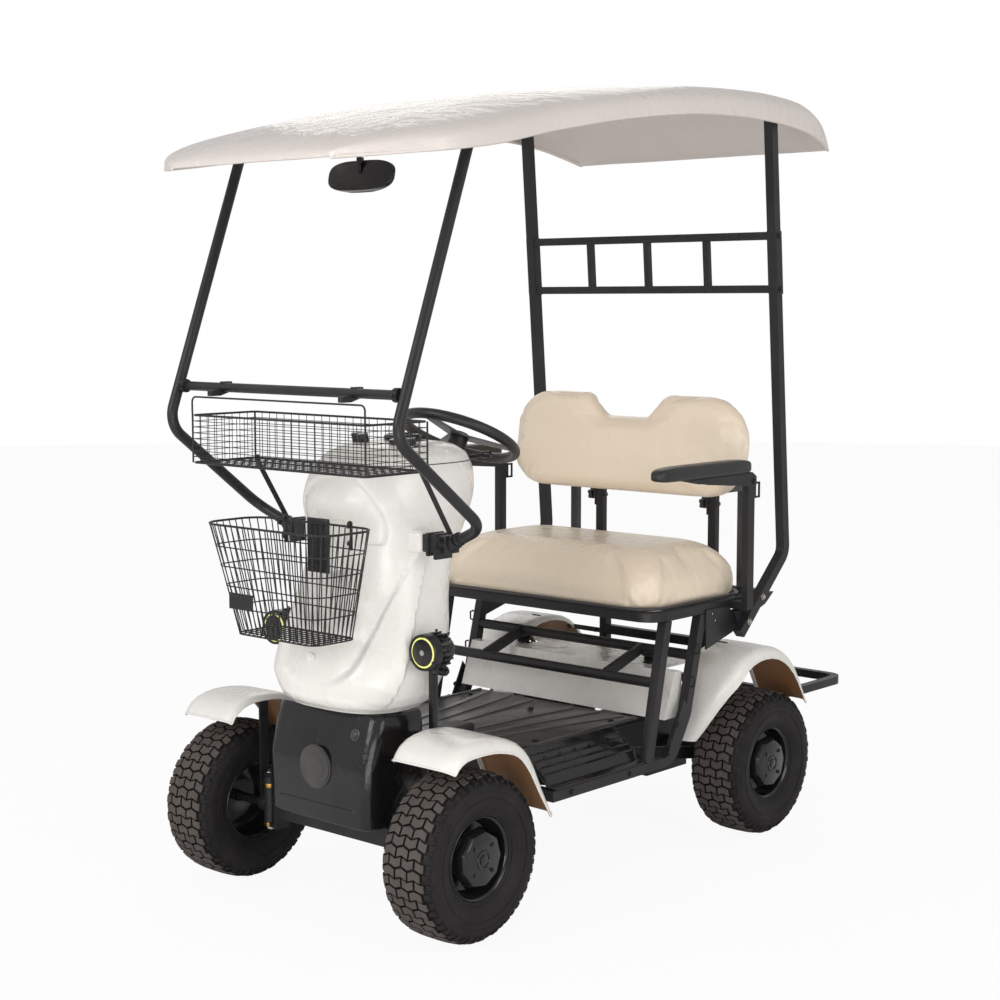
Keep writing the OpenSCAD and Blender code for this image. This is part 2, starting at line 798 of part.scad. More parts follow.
module armrest(side) {
  color(gloss_black) mirrored(side) {
    translate([arm_x - pad_w / 2, arm_y - 395, arm_z + 21]) cube([pad_w, 390, 30]);
    for (x = [arm_x - 16, arm_x + 12])
      side_plate(x, 4, [[arm_y + 12, arm_z - 12], [arm_y + 12, arm_z + 12], [arm_y - 5, arm_z + 22],
                        [arm_y - 300, arm_z + 22], [arm_y - 200, arm_z + 4], [arm_y - 20, arm_z - 12]]);
    translate([arm_x - 18, arm_y, arm_z]) rotate([0, 90, 0]) cylinder(d = arm_pin_d, h = 36);
  }
}

// Tyre: full tread outline with round shoulders
module tyre(x, y) {
  r = tyre_d / 2;
  w = tyre_w / 2;
  color("#27272a")
    translate([x, y, axle_z]) rotate([0, 90, 0])
      rotate_extrude()
        polygon([[rim_d / 2, -rim_w / 2], [rim_d / 2 + 20, -w + 6], [r - 55, -w], [r - 25, -w + 3],
                 [r - 6, -w + 16], [r, -w + 34], [r, w - 34], [r - 6, w - 16],
                 [r - 25, w - 3], [r - 55, w], [rim_d / 2 + 20, w - 6], [rim_d / 2, rim_w / 2]]);
}

module rim(side, y) {
  color(gloss_black) mirrored(side)
    translate([half_track, y, axle_z]) rotate([0, 90, 0])
      difference() {
        union() {
          rotate_extrude()
            polygon([[rim_d / 2 - 8, -rim_w / 2], [rim_d / 2 - fit, -rim_w / 2],
                     [rim_d / 2 - fit, rim_w / 2], [rim_d / 2 - 8, rim_w / 2]]);
          translate([0, 0, 10]) cylinder(d = rim_d - 10, h = 8);
          translate([0, 0, 0]) cylinder(d = 96, h = 70);
        }
        translate([0, 0, -100]) cylinder(d = stub_d + 0.1, h = 141);
      }
}

side_frame(1);  // side_frame_left
side_frame(-1);  // side_frame_right
main_frame();
seat_rail();
cross_tubes();
post(1);  // post_left
post(-1);  // post_right
ladder();
hoop(1);  // hoop_left
hoop(-1);  // hoop_right
hoop_crossbar();
roof();
mirror_unit();  // mirror
wire_tray();
tray_struts();
wire_basket();
cowl();
dash();
front_panel();
headlamps();
floor_pan();
step(1);  // step_left
step(-1);  // step_right
rear_cover();
battery_box();
pedals();
front_axle();
steering_column();
steering_wheel();
knuckle(1);  // knuckle_left
knuckle(-1);  // knuckle_right
tie_rod();
front_fender(1);  // fender_front_left
front_fender(-1);  // fender_front_right
rear_fender(1);  // fender_rear_left
rear_fender(-1);  // fender_rear_right
drive_axle();
shocks();
rear_rack();
seat_cushion();
backrest();
back_supports();
arm_posts();
armrest(1);  // armrest_left
armrest(-1);  // armrest_right
tyre(half_track, front_y);  // tyre_front_left
tyre(-half_track, front_y);  // tyre_front_right
tyre(half_track, rear_y);  // tyre_rear_left
tyre(-half_track, rear_y);  // tyre_rear_right
rim(1, front_y);  // rim_front_left
rim(-1, front_y);  // rim_front_right
rim(1, rear_y);  // rim_rear_left
rim(-1, rear_y);  // rim_rear_right
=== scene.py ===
"""Off-road golf cart: the visible pieces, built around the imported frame."""

import json
import math

import bmesh
import bpy
from mathutils import Matrix, Vector, noise


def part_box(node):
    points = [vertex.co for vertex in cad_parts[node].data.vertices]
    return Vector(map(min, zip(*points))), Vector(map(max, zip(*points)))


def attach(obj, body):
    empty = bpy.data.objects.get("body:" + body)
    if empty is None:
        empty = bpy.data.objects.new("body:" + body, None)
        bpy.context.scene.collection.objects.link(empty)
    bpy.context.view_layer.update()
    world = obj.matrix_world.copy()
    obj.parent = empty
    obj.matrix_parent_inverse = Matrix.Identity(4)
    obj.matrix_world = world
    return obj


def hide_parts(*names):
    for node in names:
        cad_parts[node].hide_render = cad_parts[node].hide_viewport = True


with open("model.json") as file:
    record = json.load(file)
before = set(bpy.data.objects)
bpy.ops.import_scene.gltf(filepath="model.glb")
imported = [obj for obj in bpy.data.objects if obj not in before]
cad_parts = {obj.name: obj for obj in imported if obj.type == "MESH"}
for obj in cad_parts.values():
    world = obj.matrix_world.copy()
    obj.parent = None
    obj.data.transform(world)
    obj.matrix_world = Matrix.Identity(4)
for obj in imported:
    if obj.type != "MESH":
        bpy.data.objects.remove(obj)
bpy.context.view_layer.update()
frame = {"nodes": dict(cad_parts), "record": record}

WHEEL_Z = 0.1875
FRONT_AXLE = -0.695
REAR_AXLE = 0.425
HALF_TRACK = 0.36
FIT = 0.0003
SIDES = (("left", 1), ("right", -1))


# FINISHES
def finish(name, color, rough, metal=0.0, coat=0.0, mottle=None, rough_spread=0.0, grain=(), coat_grain=None,
           coat_rough=0.05, spec=0.5, sheen=0.0, glow=None, clear=0.0):
    """Procedural finish. mottle is (scale, second colour, contrast), grain a list of (scale, depth, distortion)."""
    mat = bpy.data.materials.new(name)
    mat.use_nodes = True
    tree = mat.node_tree
    shader = tree.nodes["Principled BSDF"]
    shader.inputs["Base Color"].default_value = (*color, 1)
    shader.inputs["Roughness"].default_value = rough
    shader.inputs["Metallic"].default_value = metal
    shader.inputs["Specular IOR Level"].default_value = spec
    shader.inputs["Coat Weight"].default_value = coat
    shader.inputs["Coat Roughness"].default_value = coat_rough
    shader.inputs["Sheen Weight"].default_value = sheen
    shader.inputs["Transmission Weight"].default_value = clear
    if glow:
        shader.inputs["Emission Color"].default_value = (*glow[0], 1)
        shader.inputs["Emission Strength"].default_value = glow[1]
    place = tree.nodes.new("ShaderNodeTexCoord").outputs["Object"]

    def cloud(scale, distortion=0.0, detail=3.0):
        node = tree.nodes.new("ShaderNodeTexNoise")
        node.inputs["Scale"].default_value = scale
        node.inputs["Distortion"].default_value = distortion
        node.inputs["Detail"].default_value = detail
        tree.links.new(place, node.inputs["Vector"])
        return node.outputs["Fac"]

    if mottle:
        scale, second, contrast = mottle
        ramp = tree.nodes.new("ShaderNodeValToRGB")
        ramp.color_ramp.elements[0].position = 0.5 - contrast / 2
        ramp.color_ramp.elements[1].position = 0.5 + contrast / 2
        ramp.color_ramp.elements[0].color = (*color, 1)
        ramp.color_ramp.elements[1].color = (*second, 1)
        tree.links.new(cloud(scale, 0.4), ramp.inputs["Fac"])
        tree.links.new(ramp.outputs["Color"], shader.inputs["Base Color"])
    if rough_spread:
        spread = tree.nodes.new("ShaderNodeMapRange")
        spread.inputs["To Min"].default_value = max(0.02, rough - rough_spread)
        spread.inputs["To Max"].default_value = min(1.0, rough + rough_spread)
        tree.links.new(cloud(14.0, 0.8), spread.inputs["Value"])
        tree.links.new(spread.outputs["Result"], shader.inputs["Roughness"])

    def relief(layers, socket):
        normal = None
        for scale, depth, distortion in layers:
            bump = tree.nodes.new("ShaderNodeBump")
            bump.inputs["Distance"].default_value = depth
            bump.inputs["Strength"].default_value = 1.0
            tree.links.new(cloud(scale, distortion), bump.inputs["Height"])
            if normal:
                tree.links.new(normal, bump.inputs["Normal"])
            normal = bump.outputs["Normal"]
        if normal:
            tree.links.new(normal, shader.inputs[socket])

    relief(grain, "Normal")
    if coat_grain:
        relief(coat_grain, "Coat Normal")
    return mat


FILM = ((9.0, 0.010, 2.6), (34.0, 0.0016, 1.4))
MATERIALS = {
    "frame_black": finish("powder_black", (0.014, 0.014, 0.0155), 0.36, mottle=(6.0, (0.026, 0.026, 0.028), 0.5),
                          rough_spread=0.08, grain=((420.0, 0.00025, 0.0),), spec=0.32),
    "white_plastic": finish("moulded_white", (0.83, 0.82, 0.80), 0.28, coat=0.6, mottle=(3.0, (0.78, 0.765, 0.74), 0.6),
                            rough_spread=0.06, grain=((60.0, 0.0002, 0.0),), coat_grain=FILM, coat_rough=0.08),
    "roof_white": finish("roof_shell_white", (0.74, 0.69, 0.665), 0.42, coat=0.7, rough_spread=0.1,
                         mottle=(2.4, (0.66, 0.605, 0.58), 0.7), grain=((30.0, 0.0006, 0.5),), coat_grain=FILM,
                         coat_rough=0.1),
    # Inner face of the fenders: tan painted warm light, standing in for the floor's reflection and light shining
    # through the plastic
    "fender_tan": finish("fender_inner_tan_painted_warm_light", (0.34, 0.17, 0.075), 0.5, mottle=(9.0, (0.24, 0.115, 0.05), 0.7),
                         rough_spread=0.1, grain=((120.0, 0.0004, 0.3),)),
    "black_plastic": finish("gloss_black_plastic", (0.006, 0.006, 0.0075), 0.14, coat=0.3, rough_spread=0.06, spec=0.3,
                            mottle=(8.0, (0.015, 0.015, 0.017), 0.6), grain=((90.0, 0.0002, 0.0),),
                            coat_grain=((16.0, 0.004, 1.6),)),
    "dark_plastic": finish("ribbed_dark_plastic", (0.034, 0.032, 0.032), 0.32, mottle=(5.0, (0.060, 0.056, 0.056), 0.6),
                           rough_spread=0.12, grain=((300.0, 0.0004, 0.2),), coat=0.2, spec=0.4),
    "cream_vinyl": finish("cream_vinyl", (0.86, 0.745, 0.600), 0.42, mottle=(4.0, (0.82, 0.695, 0.545), 0.7),
                          rough_spread=0.07, grain=((520.0, 0.0005, 0.6), (26.0, 0.0012, 0.6)), coat=0.6,
                          coat_grain=((13.0, 0.009, 2.8), (48.0, 0.0014, 1.2)), coat_rough=0.07),
    "tyre_rubber": finish("turf_tyre_rubber", (0.0095, 0.0088, 0.0092), 0.56, mottle=(22.0, (0.019, 0.017, 0.0175), 0.6),
                          rough_spread=0.12, grain=((700.0, 0.0004, 0.0), (90.0, 0.0004, 0.4)), spec=0.22),
    "tread_rubber": finish("tread_rubber", (0.070, 0.060, 0.056), 0.74, mottle=(30.0, (0.102, 0.088, 0.081), 0.6),
                           rough_spread=0.1, grain=((600.0, 0.0005, 0.0),), spec=0.2),
    "rim_black": finish("rim_enamel", (0.005, 0.005, 0.006), 0.16, coat=0.4, spec=0.35, rough_spread=0.05,
                        mottle=(12.0, (0.012, 0.012, 0.013), 0.6), grain=((160.0, 0.00015, 0.0),)),
    "arm_rubber": finish("pad_skin", (0.012, 0.012, 0.013), 0.38, rough_spread=0.08,
                         mottle=(18.0, (0.02, 0.02, 0.021), 0.6), grain=((380.0, 0.0005, 0.3),)),
    "steel": finish("plated_steel", (0.56, 0.54, 0.50), 0.3, metal=1.0, mottle=(40.0, (0.42, 0.40, 0.37), 0.6),
                    rough_spread=0.1, grain=((500.0, 0.0001, 0.0),)),
    "brass": finish("brass_bush", (0.62, 0.36, 0.10), 0.32, metal=1.0, mottle=(30.0, (0.50, 0.27, 0.08), 0.6),
                    rough_spread=0.1, grain=((400.0, 0.0001, 0.0),)),
    # Yellow-green lamp ring with a faint painted glow; the lamp itself is not lit
    "ring_yellow": finish("lamp_ring_painted_glow", (0.72, 0.75, 0.16), 0.35, glow=((0.74, 0.78, 0.20), 0.35), coat=0.4,
                          mottle=(60.0, (0.80, 0.82, 0.34), 0.6), grain=((300.0, 0.0001, 0.0),)),
    "lamp_glass": finish("lamp_glass", (0.030, 0.030, 0.032), 0.06, coat=1.0, mottle=(50.0, (0.06, 0.06, 0.055), 0.5),
                         coat_rough=0.02, grain=((70.0, 0.0006, 0.0),)),
    "spoke_grey": finish("spoke_plate_grey", (0.13, 0.125, 0.13), 0.34, mottle=(20.0, (0.17, 0.165, 0.17), 0.6),
                         rough_spread=0.08, grain=((420.0, 0.0002, 0.0),)),
    "mirror_face": finish("mirror_silver", (0.30, 0.30, 0.31), 0.06, metal=1.0, rough_spread=0.02,
                          mottle=(6.0, (0.34, 0.34, 0.35), 0.6)),
}


# MESH HELPERS
def skin(bm, rings, loop=True, caps=True, closed=False):
    """Extrude the first ring through the others; closed joins the last ring to the first."""
    start = [bm.verts.new(p) for p in rings[0]]
    verts = start
    pairs = list(zip(verts, verts[1:] + verts[:1])) if loop else list(zip(verts, verts[1:]))
    first_edges = [bm.edges.new(pair) for pair in pairs]
    edges = first_edges
    for ring in rings[1:]:
        made = bmesh.ops.extrude_edge_only(bm, edges=edges)["geom"]
        fresh = {v for v in made if isinstance(v, bmesh.types.BMVert)}
        following = [next(e.other_vert(v) for e in v.link_edges if e.other_vert(v) in fresh) for v in verts]
        for v, p in zip(following, ring):
            v.co = p
        verts = following
        pairs = list(zip(verts, verts[1:] + verts[:1])) if loop else list(zip(verts, verts[1:]))
        edges = [bm.edges.get(pair) for pair in pairs]
    if closed:
        bmesh.ops.bridge_loops(bm, edges=first_edges + edges)
    elif loop and caps:
        bm.faces.new(start)
        bm.faces.new(verts)
    return start


def directions(path, closed=False):
    """Unit heading at each point of a path."""
    n = len(path)
    found = []
    for i in range(n):
        ahead = path[(i + 1) % n] if closed else path[min(i + 1, n - 1)]
        behind = path[(i - 1) % n] if closed else path[max(i - 1, 0)]
        found.append((ahead - behind).normalized())
    return found


def sweep(bm, path, outline, up=(0, 0, 1), closed=False):
    """Carry a flat outline of (across, up) points along a path without twisting it."""
    path = [Vector(p) for p in path]
    rings = []
    side = None
    for point, ahead in zip(path, directions(path, closed)):
        if side is None:
            side = ahead.cross(Vector(up))
            if side.length < 0.05:
                side = ahead.cross(Vector((1, 0, 0)))
        side = (side - ahead * side.dot(ahead)).normalized()
        top = side.cross(ahead)
        rings.append([point + side * a + top * b for a, b in outline])
    skin(bm, rings, closed=closed)


def circle(radius, sides):
    return [(radius * math.cos(2 * math.pi * k / sides), radius * math.sin(2 * math.pi * k / sides))
            for k in range(sides)]


def rounded_path(points, radius, steps=8):
    """Path through the points with an arc at each corner."""
    points = [Vector(p) for p in points]
    path = [points[0]]
    for a, b, c in zip(points, points[1:], points[2:]):
        u = (a - b).normalized()
        v = (c - b).normalized()
        half = u.angle(v) / 2
        if half > math.pi / 2 - 0.02:
            path.append(b)
            continue
        run = min(radius / math.tan(half), (a - b).length * 0.49, (c - b).length * 0.49)
        r = run * math.tan(half)
        middle = b + (u + v).normalized() * r / math.sin(half)
        start = (b + u * run - middle).normalized()
        end = (b + v * run - middle).normalized()
        for k in range(steps + 1):
            path.append(middle + start.slerp(end, k / steps) * r)
    path.append(points[-1])
    return path


def tube(bm, points, radius, bend=0.0, sides=16, steps=8):
    sweep(bm, rounded_path(points, bend, steps) if bend else points, circle(radius, sides))


def wire(bm, a, b, radius=0.0012, sides=6):
    a = Vector(a)
    b = Vector(b)
    turn = (b - a).to_track_quat("Z", "Y").to_matrix().to_4x4()
    bmesh.ops.create_cone(bm, cap_ends=True, segments=sides, radius1=radius, radius2=radius, depth=(b - a).length,
                          matrix=Matrix.Translation((a + b) / 2) @ turn)


def drum(bm, centre, axis, radius, depth, sides=32, radius2=None):
    """Cylinder or cone about an axis, from centre - depth / 2 to centre + depth / 2."""
    turn = Vector(axis).to_track_quat("Z", "Y").to_matrix().to_4x4()
    made = bmesh.ops.create_cone(bm, cap_ends=True, segments=sides, radius1=radius,
                                 radius2=radius if radius2 is None else radius2, depth=depth,
                                 matrix=Matrix.Translation(centre) @ turn)
    return made["verts"]


def block(bm, low, high, turn=None):
    """Cuboid between two corners, turned about its middle if asked."""
    low = Vector(low)
    high = Vector(high)
    place = Matrix.Translation((low + high) / 2) @ (turn or Matrix.Identity(4))
    return bmesh.ops.create_cube(bm, size=1.0, matrix=place @ Matrix.Diagonal((*(high - low), 1)))["verts"]


def plate(bm, outline, depth):
    """Closed plate from a flat outline of 3D points, thickened by the vector depth."""
    face = bm.faces.new([bm.verts.new(p) for p in outline])
    made = bmesh.ops.extrude_face_region(bm, geom=[face])["geom"]
    bmesh.ops.translate(bm, vec=Vector(depth), verts=[v for v in made if isinstance(v, bmesh.types.BMVert)])


def spin(bm, profile, centre, axis=(1, 0, 0), steps=64, closed=True):
    """Turn a profile of (along, radius) about an axis through centre."""
    axis = Vector(axis).normalized()
    out = axis.orthogonal().normalized()
    centre = Vector(centre)
    verts = [bm.verts.new(centre + axis * a + out * r) for a, r in profile]
    pairs = list(zip(verts, verts[1:] + verts[:1])) if closed else list(zip(verts, verts[1:]))
    edges = [bm.edges.new(pair) for pair in pairs]
    bmesh.ops.spin(bm, geom=verts + edges, cent=centre, axis=axis, angle=2 * math.pi, steps=steps, use_merge=True)


def bolt(bm, place, axis, radius=0.007, height=0.006):
    """Hexagon head on a washer."""
    axis = Vector(axis).normalized()
    place = Vector(place)
    drum(bm, place + axis * 0.0008, axis, radius * 1.35, 0.0016, 20)
    drum(bm, place + axis * (0.0016 + height / 2), axis, radius, height, 6)


def soften(bm, width, segments=2, angle=30.0):
    """Round every edge sharper than angle."""
    sharp = [e for e in bm.edges if len(e.link_faces) == 2 and e.calc_face_angle(0) > math.radians(angle)]
    if sharp:
        bmesh.ops.bevel(bm, geom=sharp, offset=width, offset_type="OFFSET", segments=segments, profile=0.5,
                        affect="EDGES", material=-1, clamp_overlap=True)


def mirror_x(bm):
    """Turn the piece into its twin on the cart's other side."""
    bmesh.ops.scale(bm, vec=(-1, 1, 1), verts=bm.verts)
    bmesh.ops.reverse_faces(bm, faces=bm.faces)


def piece(bm, name, body, finishes, replaces=(), angle=35.0, levels=0, weld=True, outward=True):
    """Make an object of the mesh, with its finish and its body; finishes[0] is the record's slot."""
    if weld:
        bmesh.ops.remove_doubles(bm, verts=bm.verts, dist=0.00002)
    if outward:
        bmesh.ops.recalc_face_normals(bm, faces=bm.faces)
    mesh = bpy.data.meshes.new(name)
    bm.to_mesh(mesh)
    bm.free()
    obj = bpy.data.objects.new(name, mesh)
    bpy.context.scene.collection.objects.link(obj)
    names = [finishes] if isinstance(finishes, str) else finishes
    for finish_name in names:
        mesh.materials.append(MATERIALS[finish_name])
    for face in mesh.polygons:
        face.use_smooth = True
    mesh.set_sharp_from_angle(angle=math.radians(angle))
    if levels:
        soft = obj.modifiers.new("rounding", "SUBSURF")
        soft.levels = levels
        soft.render_levels = levels
    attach(obj, body)
    if replaces:
        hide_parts(*([replaces] if isinstance(replaces, str) else replaces))
    return obj


def paint(bm, index, test):
    """Give the faces that pass a test the finish of that index."""
    for face in bm.faces:
        if test(face):
            face.material_index = index


def eased(node, body, finish_name, width=0.0025):
    """The node's own solid with its edges rounded."""
    bm = bmesh.new()
    bm.from_mesh(frame["nodes"][node].data)
    bmesh.ops.remove_doubles(bm, verts=bm.verts, dist=0.00001)
    bmesh.ops.dissolve_limit(bm, angle_limit=math.radians(1.0), verts=bm.verts, edges=bm.edges)
    obj = piece(bm, node + "_eased", body, finish_name, replaces=node, weld=False, outward=False, angle=40)
    rounding = obj.modifiers.new("edge", "BEVEL")
    rounding.width = width
    rounding.segments = 2
    rounding.limit_method = "ANGLE"
    rounding.angle_limit = math.radians(50)
    rounding.use_clamp_overlap = True
    return obj


# CAMERA, LIGHT, GROUND
def studio():
    camera = bpy.data.objects.new("camera", bpy.data.cameras.new("camera"))
    camera.location = (3.000, -3.561, 1.372)
    camera.rotation_euler = (math.radians(83.93), 0, math.radians(41.4))
    camera.data.lens = 66.56
    camera.data.sensor_width = 36
    bpy.context.scene.collection.objects.link(camera)
    bpy.context.scene.camera = camera
    world = bpy.data.worlds.new("pale_room")
    world.use_nodes = True
    bpy.context.scene.world = world
    tree = world.node_tree
    lit = tree.nodes["Background"]
    lit.inputs["Color"].default_value = (1.0, 0.985, 0.965, 1)
    lit.inputs["Strength"].default_value = 0.60
    seen = tree.nodes.new("ShaderNodeBackground")
    seen.inputs["Color"].default_value = (1, 1, 1, 1)
    path = tree.nodes.new("ShaderNodeLightPath")
    mix = tree.nodes.new("ShaderNodeMixShader")
    most = tree.nodes.new("ShaderNodeMath")
    most.operation = "MAXIMUM"
    tree.links.new(path.outputs["Is Camera Ray"], most.inputs[0])
    tree.links.new(path.outputs["Is Transmission Ray"], most.inputs[1])
    tree.links.new(most.outputs["Value"], mix.inputs["Fac"])
    tree.links.new(lit.outputs["Background"], mix.inputs[1])
    tree.links.new(seen.outputs["Background"], mix.inputs[2])
    tree.links.new(mix.outputs["Shader"], tree.nodes["World Output"].inputs["Surface"])
    # Lamps: power in watts, size in metres, place, aim
    lamps = (("key", 58, 2.2, (-0.8, -4.2, 2.5), (0, 0, 0.7)),
             ("side", 40, 2.4, (4.2, -0.8, 1.9), (0, 0, 0.6)),
             ("back", 12, 2.0, (-2.8, 2.8, 2.8), (0, 0, 0.9)),
             ("low", 26, 1.6, (1.6, -2.6, 0.35), (0, 0.1, 1.9)))
    for name, watts, size, place, aim in lamps:
        lamp = bpy.data.objects.new(name, bpy.data.lights.new(name, "AREA"))
        lamp.data.energy = watts
        lamp.data.size = size
        lamp.data.color = (1.0, 0.98, 0.95)
        lamp.location = place
        lamp.rotation_euler = (Vector(aim) - Vector(place)).to_track_quat("-Z", "Y").to_euler()
        bpy.context.scene.collection.objects.link(lamp)
    bm = bmesh.new()
    bmesh.ops.create_circle(bm, cap_ends=True, segments=64, radius=14.0)
    mesh = bpy.data.meshes.new("ground")
    bm.to_mesh(mesh)
    bm.free()
    ground = bpy.data.objects.new("ground", mesh)
    bpy.context.scene.collection.objects.link(ground)
    mat = bpy.data.materials.new("pale_floor")
    mat.use_nodes = True
    tree = mat.node_tree
    shader = tree.nodes["Principled BSDF"]
    shader.inputs["Base Color"].default_value = (0.9, 0.895, 0.89, 1)
    shader.inputs["Roughness"].default_value = 0.9
    pale = tree.nodes.new("ShaderNodeEmission")
    pale.inputs["Color"].default_value = (1, 1, 1, 1)
    path = tree.nodes.new("ShaderNodeLightPath")
    share = tree.nodes.new("ShaderNodeMath")
    share.operation = "MULTIPLY"
    share.inputs[1].default_value = 0.93
    mix = tree.nodes.new("ShaderNodeMixShader")
    tree.links.new(path.outputs["Is Camera Ray"], share.inputs[0])
    tree.links.new(share.outputs["Value"], mix.inputs["Fac"])
    tree.links.new(shader.outputs["BSDF"], mix.inputs[1])
    tree.links.new(pale.outputs["Emission"], mix.inputs[2])
    tree.links.new(mix.outputs["Shader"], tree.nodes["Material Output"].inputs["Surface"])
    mesh.materials.append(mat)
    bpy.context.scene.view_settings.view_transform = "Standard"


studio()


# WHEELS
TREAD_PITCHES = 26
LUG = 0.0078
# Crown of the carcass under the lugs: distance from the middle, radius
CARCASS = ((0.0, 0.1796), (0.030, 0.1792), (0.050, 0.1770), (0.062, 0.1722), (0.070, 0.1640), (0.0740, 0.152))


def carcass_radius(u):
    u = abs(u)
    for (u0, r0), (u1, r1) in zip(CARCASS, CARCASS[1:]):
        if u <= u1:
            return r0 + (r1 - r0) * (u - u0) / (u1 - u0)
    return CARCASS[-1][1]


def lug(bm, outline, height, centre, phase, taper=0.86):
    """One tread block: an outline of (across, around) points raised off the carcass."""
    count = len(outline)
    across = sum(p[0] for p in outline) / count
    around = sum(p[1] for p in outline) / count
    rings = []
    for lift, scale in ((-0.004, 1.0), (height * 0.86, 1.0 - (1 - taper) * 0.6), (height, taper - 0.08)):
        ring = []
        for u, v in outline:
            u = across + (u - across) * scale
            v = around + (v - around) * scale
            r = carcass_radius(u) + lift
            a = v / 0.18 + phase
            ring.append((centre.x + u, centre.y + r * math.sin(a), centre.z + r * math.cos(a)))
        rings.append(ring)
    before = set(bm.verts)
    skin(bm, rings)
    return [v for v in bm.verts if v not in before]


def tyre(node, side, y):
    bm = bmesh.new()
    centre = Vector((0, 0, 0))
    half = [(u, r) for u, r in CARCASS] + [(0.0742, 0.140), (0.0722, 0.124), (0.066, 0.108), (0.0575, 0.0985),
                                           (0.0560, 0.0935), (0.050, 0.0935)]
    profile = [(-u, r) for u, r in reversed(half[1:])] + half
    spin(bm, profile, centre, steps=96)
    pitch = 2 * math.pi / TREAD_PITCHES
    long = 0.0091
    swept = 0.0030
    wide = 0.0163
    blocks = []
    # Two rows in a pitch, laid like bricks: two blocks pointing down, then three pointing up
    for places, sign, phase in (((-0.018, 0.018), -1, 0.0), ((-0.036, 0.0, 0.036), 1, 0.5)):
        dip = swept * sign
        for u in places:
            outline = [(u - wide, -long - dip), (u, -long + dip), (u + wide, -long - dip),
                       (u + wide, long - dip), (u, long + dip), (u - wide, long - dip)]
            blocks += lug(bm, outline, LUG, centre, pitch * phase, 0.93)
    for end in (-1, 1):
        outline = [(end * 0.0378, -long + swept), (end * 0.0378, long + swept), (end * 0.0530, long - swept),
                   (end * 0.0590, long - swept), (end * 0.0590, -long - swept), (end * 0.0530, -long - swept)]
        blocks += lug(bm, outline, LUG * 0.94, centre, 0.0, 0.93)
        for phase, top, foot in ((0.5, 0.0556, 0.0660), (0.0, 0.0620, 0.0700)):
            outline = [(end * top, -0.0070), (end * top, 0.0070), (end * foot, 0.0056), (end * foot, -0.0056)]
            blocks += lug(bm, outline, LUG * 0.62, centre, pitch * phase, 0.92)
        # Thin ribs on the shoulder
        for phase in (0.12, 0.25, 0.38, 0.62, 0.75, 0.88, 0.0, 0.5):
            x0 = end * 0.0722
            a = pitch * phase
            before = set(bm.verts)
            wire(bm, (x0 - end * 0.004, 0.168 * math.sin(a), 0.168 * math.cos(a)),
                 (x0 + end * 0.0016, 0.148 * math.sin(a), 0.148 * math.cos(a)), 0.0013, 4)
            blocks += [v for v in bm.verts if v not in before]
    chosen = set(blocks)
    faces = [f for f in bm.faces if all(v in chosen for v in f.verts)]
    bmesh.ops.spin(bm, geom=faces, cent=centre, axis=(1, 0, 0), angle=2 * math.pi - pitch,
                   steps=TREAD_PITCHES - 1, use_duplicate=True)
    # Raised ring round the bead and a fine line on the sidewall
    for ring_r, ring_x in ((0.1015, 0.0600), (0.1345, 0.0738)):
        for end in (-1, 1):
            spin(bm, [(end * ring_x + 0.0011 * c, ring_r + 0.0011 * s) for c, s in circle(1.0, 6)], centre, steps=72)
    paint(bm, 1, lambda f: f.calc_center_median().yz.length > carcass_radius(f.calc_center_median().x) + 0.0042
          and abs(f.calc_center_median().x) < 0.0605)
    bmesh.ops.translate(bm, vec=(side * HALF_TRACK, y, WHEEL_Z), verts=bm.verts)
    return bm


def rim(side, y):
    bm = bmesh.new()
    centre = Vector((0, 0, 0))
    spin(bm, [(-0.0560, 0.0927), (-0.050, 0.0890), (0.0, 0.0860), (0.050, 0.0890), (0.0560, 0.0927), (0.0572, 0.0905),
              (0.052, 0.0855), (0.030, 0.0800), (0.014, 0.0760), (0.009, 0.0560), (0.009, 0.0120), (0.004, 0.0120),
              (0.004, 0.0600), (0.006, 0.0790), (-0.052, 0.0850), (-0.0572, 0.0905)], centre, steps=64)
    # Faceted hub cover with its bore ring
    drum(bm, Vector((0.030, 0, 0)), (1, 0, 0), 0.052, 0.044, 40)
    cover = bmesh.ops.create_cone(bm, cap_ends=True, segments=9, radius1=0.0700, radius2=0.0600, depth=0.020,
                                  matrix=Matrix.Translation((0.054, 0, 0)) @ Matrix.Rotation(math.pi / 2, 4, "Y"))
    face = max((f for v in cover["verts"] for f in v.link_faces), key=lambda f: f.calc_center_median().x)
    bmesh.ops.inset_region(bm, faces=[face], thickness=0.007, depth=0.0030)
    spin(bm, [(0.0655, 0.0230), (0.0695, 0.0215), (0.0695, 0.0170), (0.0655, 0.0150)], centre, steps=40)
    drum(bm, Vector((0.066, 0, 0)), (1, 0, 0), 0.0125, 0.006, 6)
    for k in range(4):
        a = math.pi / 4 + k * math.pi / 2
        bolt(bm, (0.0665, 0.040 * math.cos(a), 0.040 * math.sin(a)), (1, 0, 0), 0.0042, 0.003)
    # Valve stem
    wire(bm, (0.012, 0.071, 0.020), (0.034, 0.074, 0.022), 0.0035, 10)
    soften(bm, 0.0012, 2, 28)
    if side < 0:
        mirror_x(bm)
    bmesh.ops.translate(bm, vec=(side * HALF_TRACK, y, WHEEL_Z), verts=bm.verts)
    return bm


def wheels():
    for end, y in (("front", FRONT_AXLE), ("rear", REAR_AXLE)):
        for name, side in SIDES:
            body = f"wheel_{end}_{name}"
            piece(tyre(body, side, y), f"tyre_{end}_{name}_tread", body, ["tyre_rubber", "tread_rubber"],
                  replaces=f"tyre_{end}_{name}", angle=32)
            piece(rim(side, y), f"rim_{end}_{name}_cover", body, "rim_black", replaces=f"rim_{end}_{name}", angle=30)


wheels()


# FRAME
def frame_tubes():
    for node in ("side_frame_left", "side_frame_right", "main_frame", "seat_rail", "cross_tubes", "post_left",
                 "post_right", "ladder", "tray_struts", "front_axle", "drive_axle", "back_supports", "arm_posts"):
        eased(node, "chassis", "frame_black")


frame_tubes()


